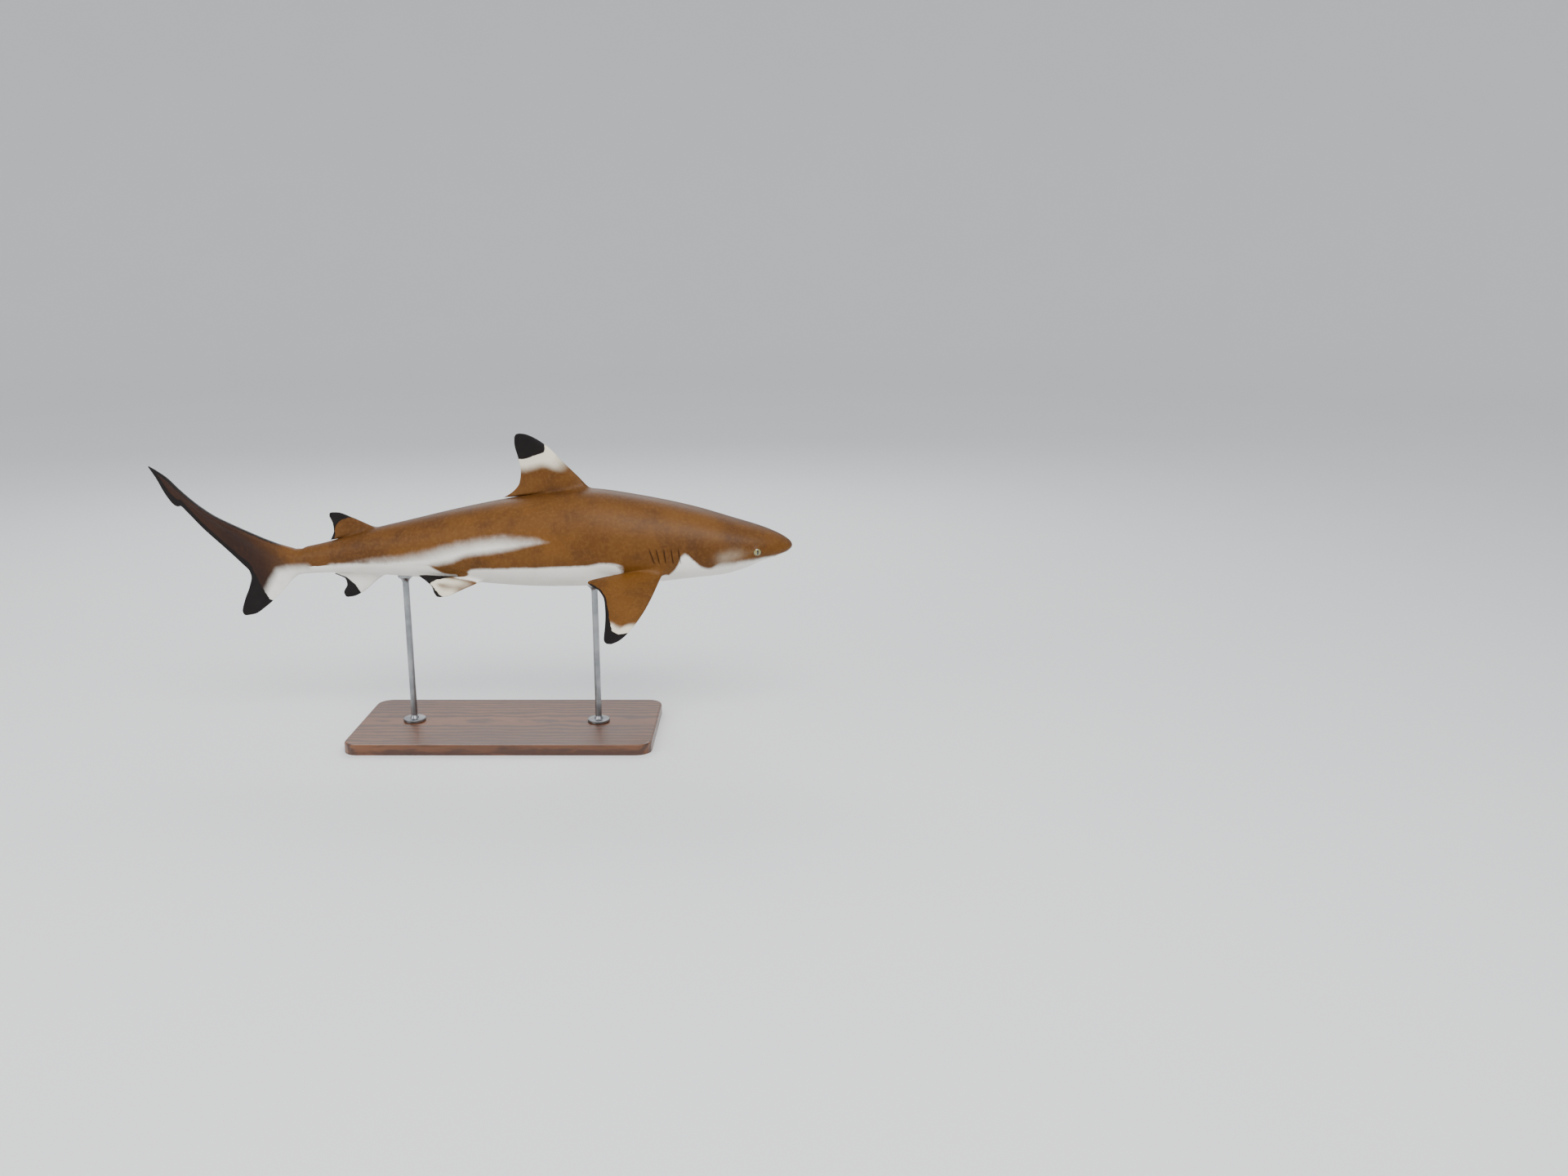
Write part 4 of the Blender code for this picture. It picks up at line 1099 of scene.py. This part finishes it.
def shark_skin():
    """Satin skin with all the markings and painted shade in its hollows, down the top of the back and over
    the tail, finely grained by its scales.
    """
    f = Finish("shark_skin")
    mottle, fine, grain = f.noise(26, 5, 0.6), f.noise(160, 3, 0.6), f.cells(1500)
    rays = f.mark("rays")
    strands = f.noise(1.0, 3, 0.6, at=f.vector(f.mark("ray") * 95, f.mark("reach") * 2.5, rays * 3))
    skin = white_belly(f, bronze_back(f, mottle, fine, rays, strands), mottle, fine)
    skin = black_tips(f, skin, fine)
    line = (0.0012 - f.mark("lateral")).step(-0.0010, 0.0010)
    skin = f.mix(line * 0.10, skin, colour(72, 42, 22))
    scattered = (f.noise(38, 2) - 0.35).step(0.05, 0.2)
    pores = (0.15 - f.cells(230)).step(0.0, 0.06) * scattered * f.mark("pores")
    skin = f.mix(pores * 0.40, skin, colour(70, 48, 34))
    # Painted shade in the gill slits, the mouth, the nostrils and the eye sockets, which are also made
    # rougher.
    groove = f.mark("groove")
    skin = f.mix(groove * 0.72, skin, colour(40, 24, 18))
    height = grain * 0.00009 + fine * 0.00010 + mottle * 0.00025 - pores * 0.0003 - line * 0.00012
    height = height + rays * strands * 0.00016
    return f.done(Base_Color=skin, Roughness=0.42 + fine * 0.16 + groove * 0.2, Normal=f.bump(height, 1.0),
                  Specular_IOR_Level=0.20, Coat_Weight=0.03, Coat_Roughness=0.25)


def shark_eye():
    """Olive iris with fine spokes, a dark edge and an upright slit of a pupil, glossy all over."""
    f = Finish("shark_eye")
    out, across, up = f.mark("out"), f.mark("across"), f.mark("up")
    turn = f.node("ShaderNodeMath", {"operation": "ARCTAN2"}, {0: up, 1: across})
    spokes = f.noise(1.0, 4, 0.65, at=f.vector(turn * 9.0, out * 260, 0.0))
    iris = f.mix(spokes.step(0.30, 0.72), colour(104, 97, 50), colour(162, 150, 92))
    iris = f.mix((out / 0.0086).step(0.58, 1.0) * 0.85, iris, colour(66, 62, 40))
    iris = f.mix(out.step(0.0088, 0.0094), iris, colour(26, 24, 20))
    slit = (across / PUPIL_HALF_WIDTH) ** 2 + (up / PUPIL_HALF_HEIGHT) ** 2
    iris = f.mix(slit.step(2.6, 1.4) * 0.6, iris, colour(92, 92, 56))
    iris = f.mix(slit.step(1.15, 0.85), iris, colour(4, 5, 6))
    return f.done(Base_Color=iris, Roughness=0.10, Coat_Weight=1.0, Coat_Roughness=0.03,
                  Normal=f.bump(spokes, 0.00008))


def dark_wood():
    """Varnished dark wood with growth rings and fine open pores along the base."""
    f = Finish("stand_wood")
    rings = f.node("ShaderNodeTexWave", {"wave_type": "RINGS", "rings_direction": "X"},
                   {"Vector": f.stretch((0.35, 1.0, 2.2)), "Scale": 22.0, "Distortion": 5.0, "Detail": 3.0,
                    "Detail Scale": 1.4}, "Fac")
    pores = f.noise(1.0, 4, 0.7, at=f.stretch((28.0, 520.0, 520.0)))
    wood = f.mix(rings.step(0.15, 0.9), colour(70, 40, 22), colour(112, 68, 38))
    wood = f.mix(f.noise(2.6, 3).step(0.35, 0.7) * 0.5, wood, colour(60, 33, 19))
    wood = f.mix(pores.step(0.56, 0.74) * 0.75, wood, colour(34, 18, 11))
    return f.done(Base_Color=wood, Roughness=0.30 + pores * 0.16, Coat_Weight=0.25, Coat_Roughness=0.15,
                  Normal=f.bump(pores * 0.7 + rings * 0.2, 0.00012))


def brushed_steel():
    """Steel rods, faintly drawn along their length."""
    f = Finish("stand_steel")
    drawn, cloud = f.noise(1.0, 3, 0.7, at=f.stretch((900.0, 900.0, 12.0))), f.noise(30, 3)
    steel = f.mix(cloud.step(0.3, 0.7), colour(132, 134, 137), colour(158, 160, 162))
    steel = f.mix(drawn.step(0.62, 0.80) * 0.5, steel, colour(104, 105, 108))
    return f.done(Base_Color=steel, Metallic=1.0, Roughness=0.22 + drawn * 0.16 + cloud * 0.06,
                  Normal=f.bump(drawn, 0.00005))


def studio_paper():
    f = Finish("studio_floor")
    return f.done(Base_Color=f.mix(f.noise(1.4, 4), colour(226, 227, 228), colour(231, 231, 230)),
                  Roughness=0.85 + f.noise(60, 2) * 0.05)


# ---- Scene ----
def add(name, data, *finishes):
    for finish in finishes:
        data.materials.append(finish)
    thing = bpy.data.objects.new(name, data)
    bpy.context.scene.collection.objects.link(thing)
    return thing


def turned_faces(rows, sides, closed):
    """Faces over rows of points round one first point, and over a last point if it is closed."""
    number = 1 + np.arange(rows * sides).reshape(rows, sides)
    after = np.roll(number, -1, 1)
    faces = [(0, a, b) for a, b in zip(number[0], after[0])]
    faces += np.stack([number[:-1], number[1:], after[1:], after[:-1]], -1).reshape(-1, 4).tolist()
    if closed:
        faces += [(number.size + 1, b, a) for a, b in zip(number[-1], after[-1])]
    return faces


def eyeball(side):
    """Eyeball with a slightly domed cornea, its marks measured from the middle of the pupil."""
    _, _, normal, centre = eye_seat()
    tilt = np.cross((0.0, 0.0, 1.0), normal)
    tilt /= np.linalg.norm(tilt)
    upward = np.cross(normal, tilt)
    polar = np.radians(np.concatenate([np.arange(1.5, 66, 1.5), np.linspace(66, 176, 28)]))
    around = 2 * pi * np.arange(EYE_SIDES) / EYE_SIDES
    dome = EYE_R + CORNEA_RISE * (1 - rise(0.3, 1.05, polar))
    out, depth = ((dome * part)[:, None] + 0 * around for part in (np.sin(polar), np.cos(polar)))
    across, up = out * np.cos(around), out * np.sin(around)
    rings = centre + depth[..., None] * normal + across[..., None] * tilt + up[..., None] * upward
    front, back = centre + (EYE_R + CORNEA_RISE) * normal, centre - EYE_R * normal
    points = np.concatenate([front[None], rings.reshape(-1, 3), back[None]]) * (1, side, 1)
    numbers = {name: np.concatenate([[0], values.ravel(), [BEHIND_IRIS]])
               for name, values in (("out", out), ("across", across), ("up", up))}
    return smooth_mesh("eye_" + SIDE_NAMES[side], place(points), turned_faces(*out.shape, True), numbers)


def studio_floor():
    """Pale floor that curves up all round into a wall."""
    turn = np.linspace(0, pi / 2, CURVE_STEPS + 1)[1:]
    flat = FLOOR_RINGS[-1]
    rings = [(r, 0.0) for r in FLOOR_RINGS]
    rings += [(flat + FLOOR_CURVE * sin(a), FLOOR_CURVE * (1 - cos(a))) for a in turn]
    rings += [(flat + FLOOR_CURVE, WALL_TOP)]
    around = 2 * pi * np.arange(FLOOR_SIDES) / FLOOR_SIDES
    points = [(0.0, 0.0, 0.0)] + [(r * cos(a), r * sin(a), z) for r, z in rings for a in around]
    return smooth_mesh("studio_floor", points, turned_faces(len(rings), FLOOR_SIDES, False), {})


def light(name, spot, size, power):
    """Rectangular soft light that faces the fish."""
    lamp = bpy.data.lights.new(name, "AREA")
    lamp.shape, lamp.size, lamp.size_y, lamp.energy = "RECTANGLE", *size, power
    thing = add(name, lamp)
    thing.location = spot
    thing.rotation_euler = (Vector(LIGHT_AIM) - Vector(spot)).to_track_quat("-Z", "Y").to_euler()


def light_sky():
    """Pale even light from all round."""
    world = bpy.data.worlds.new("studio_sky")
    world.use_nodes = True
    colour_in, power_in = world.node_tree.nodes["Background"].inputs[:2]
    colour_in.default_value, power_in.default_value = SKY_COLOUR, SKY_POWER
    bpy.context.scene.world = world


def place_camera():
    camera = add("camera", bpy.data.cameras.new("camera"))
    camera.data.lens, camera.data.sensor_width = CAMERA_LENS, 36.0
    camera.location, camera.rotation_euler = CAMERA_SPOT, (radians(90 - CAMERA_DOWN), 0.0, 0.0)
    bpy.context.scene.camera = camera


skin = add("skin", skin_mesh(build_skin()), shark_skin())
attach(skin, "root")
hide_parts(*[name for name in nodes if not name.startswith(("eye", "stand"))])

eye_finish = shark_eye()
for side, name in SIDE_NAMES.items():
    ball = add("eyeball_" + name, eyeball(side), eye_finish)
    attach(ball, "root")
    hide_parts("eye_" + name)

steel = brushed_steel()
for name, finish in (("stand_base", dark_wood()), ("stand_rod_front", steel), ("stand_rod_rear", steel)):
    nodes[name].data.materials[0] = finish

add("studio_floor", studio_floor(), studio_paper())
for lamp in LIGHTS:
    light(*lamp)
light_sky()
place_camera()
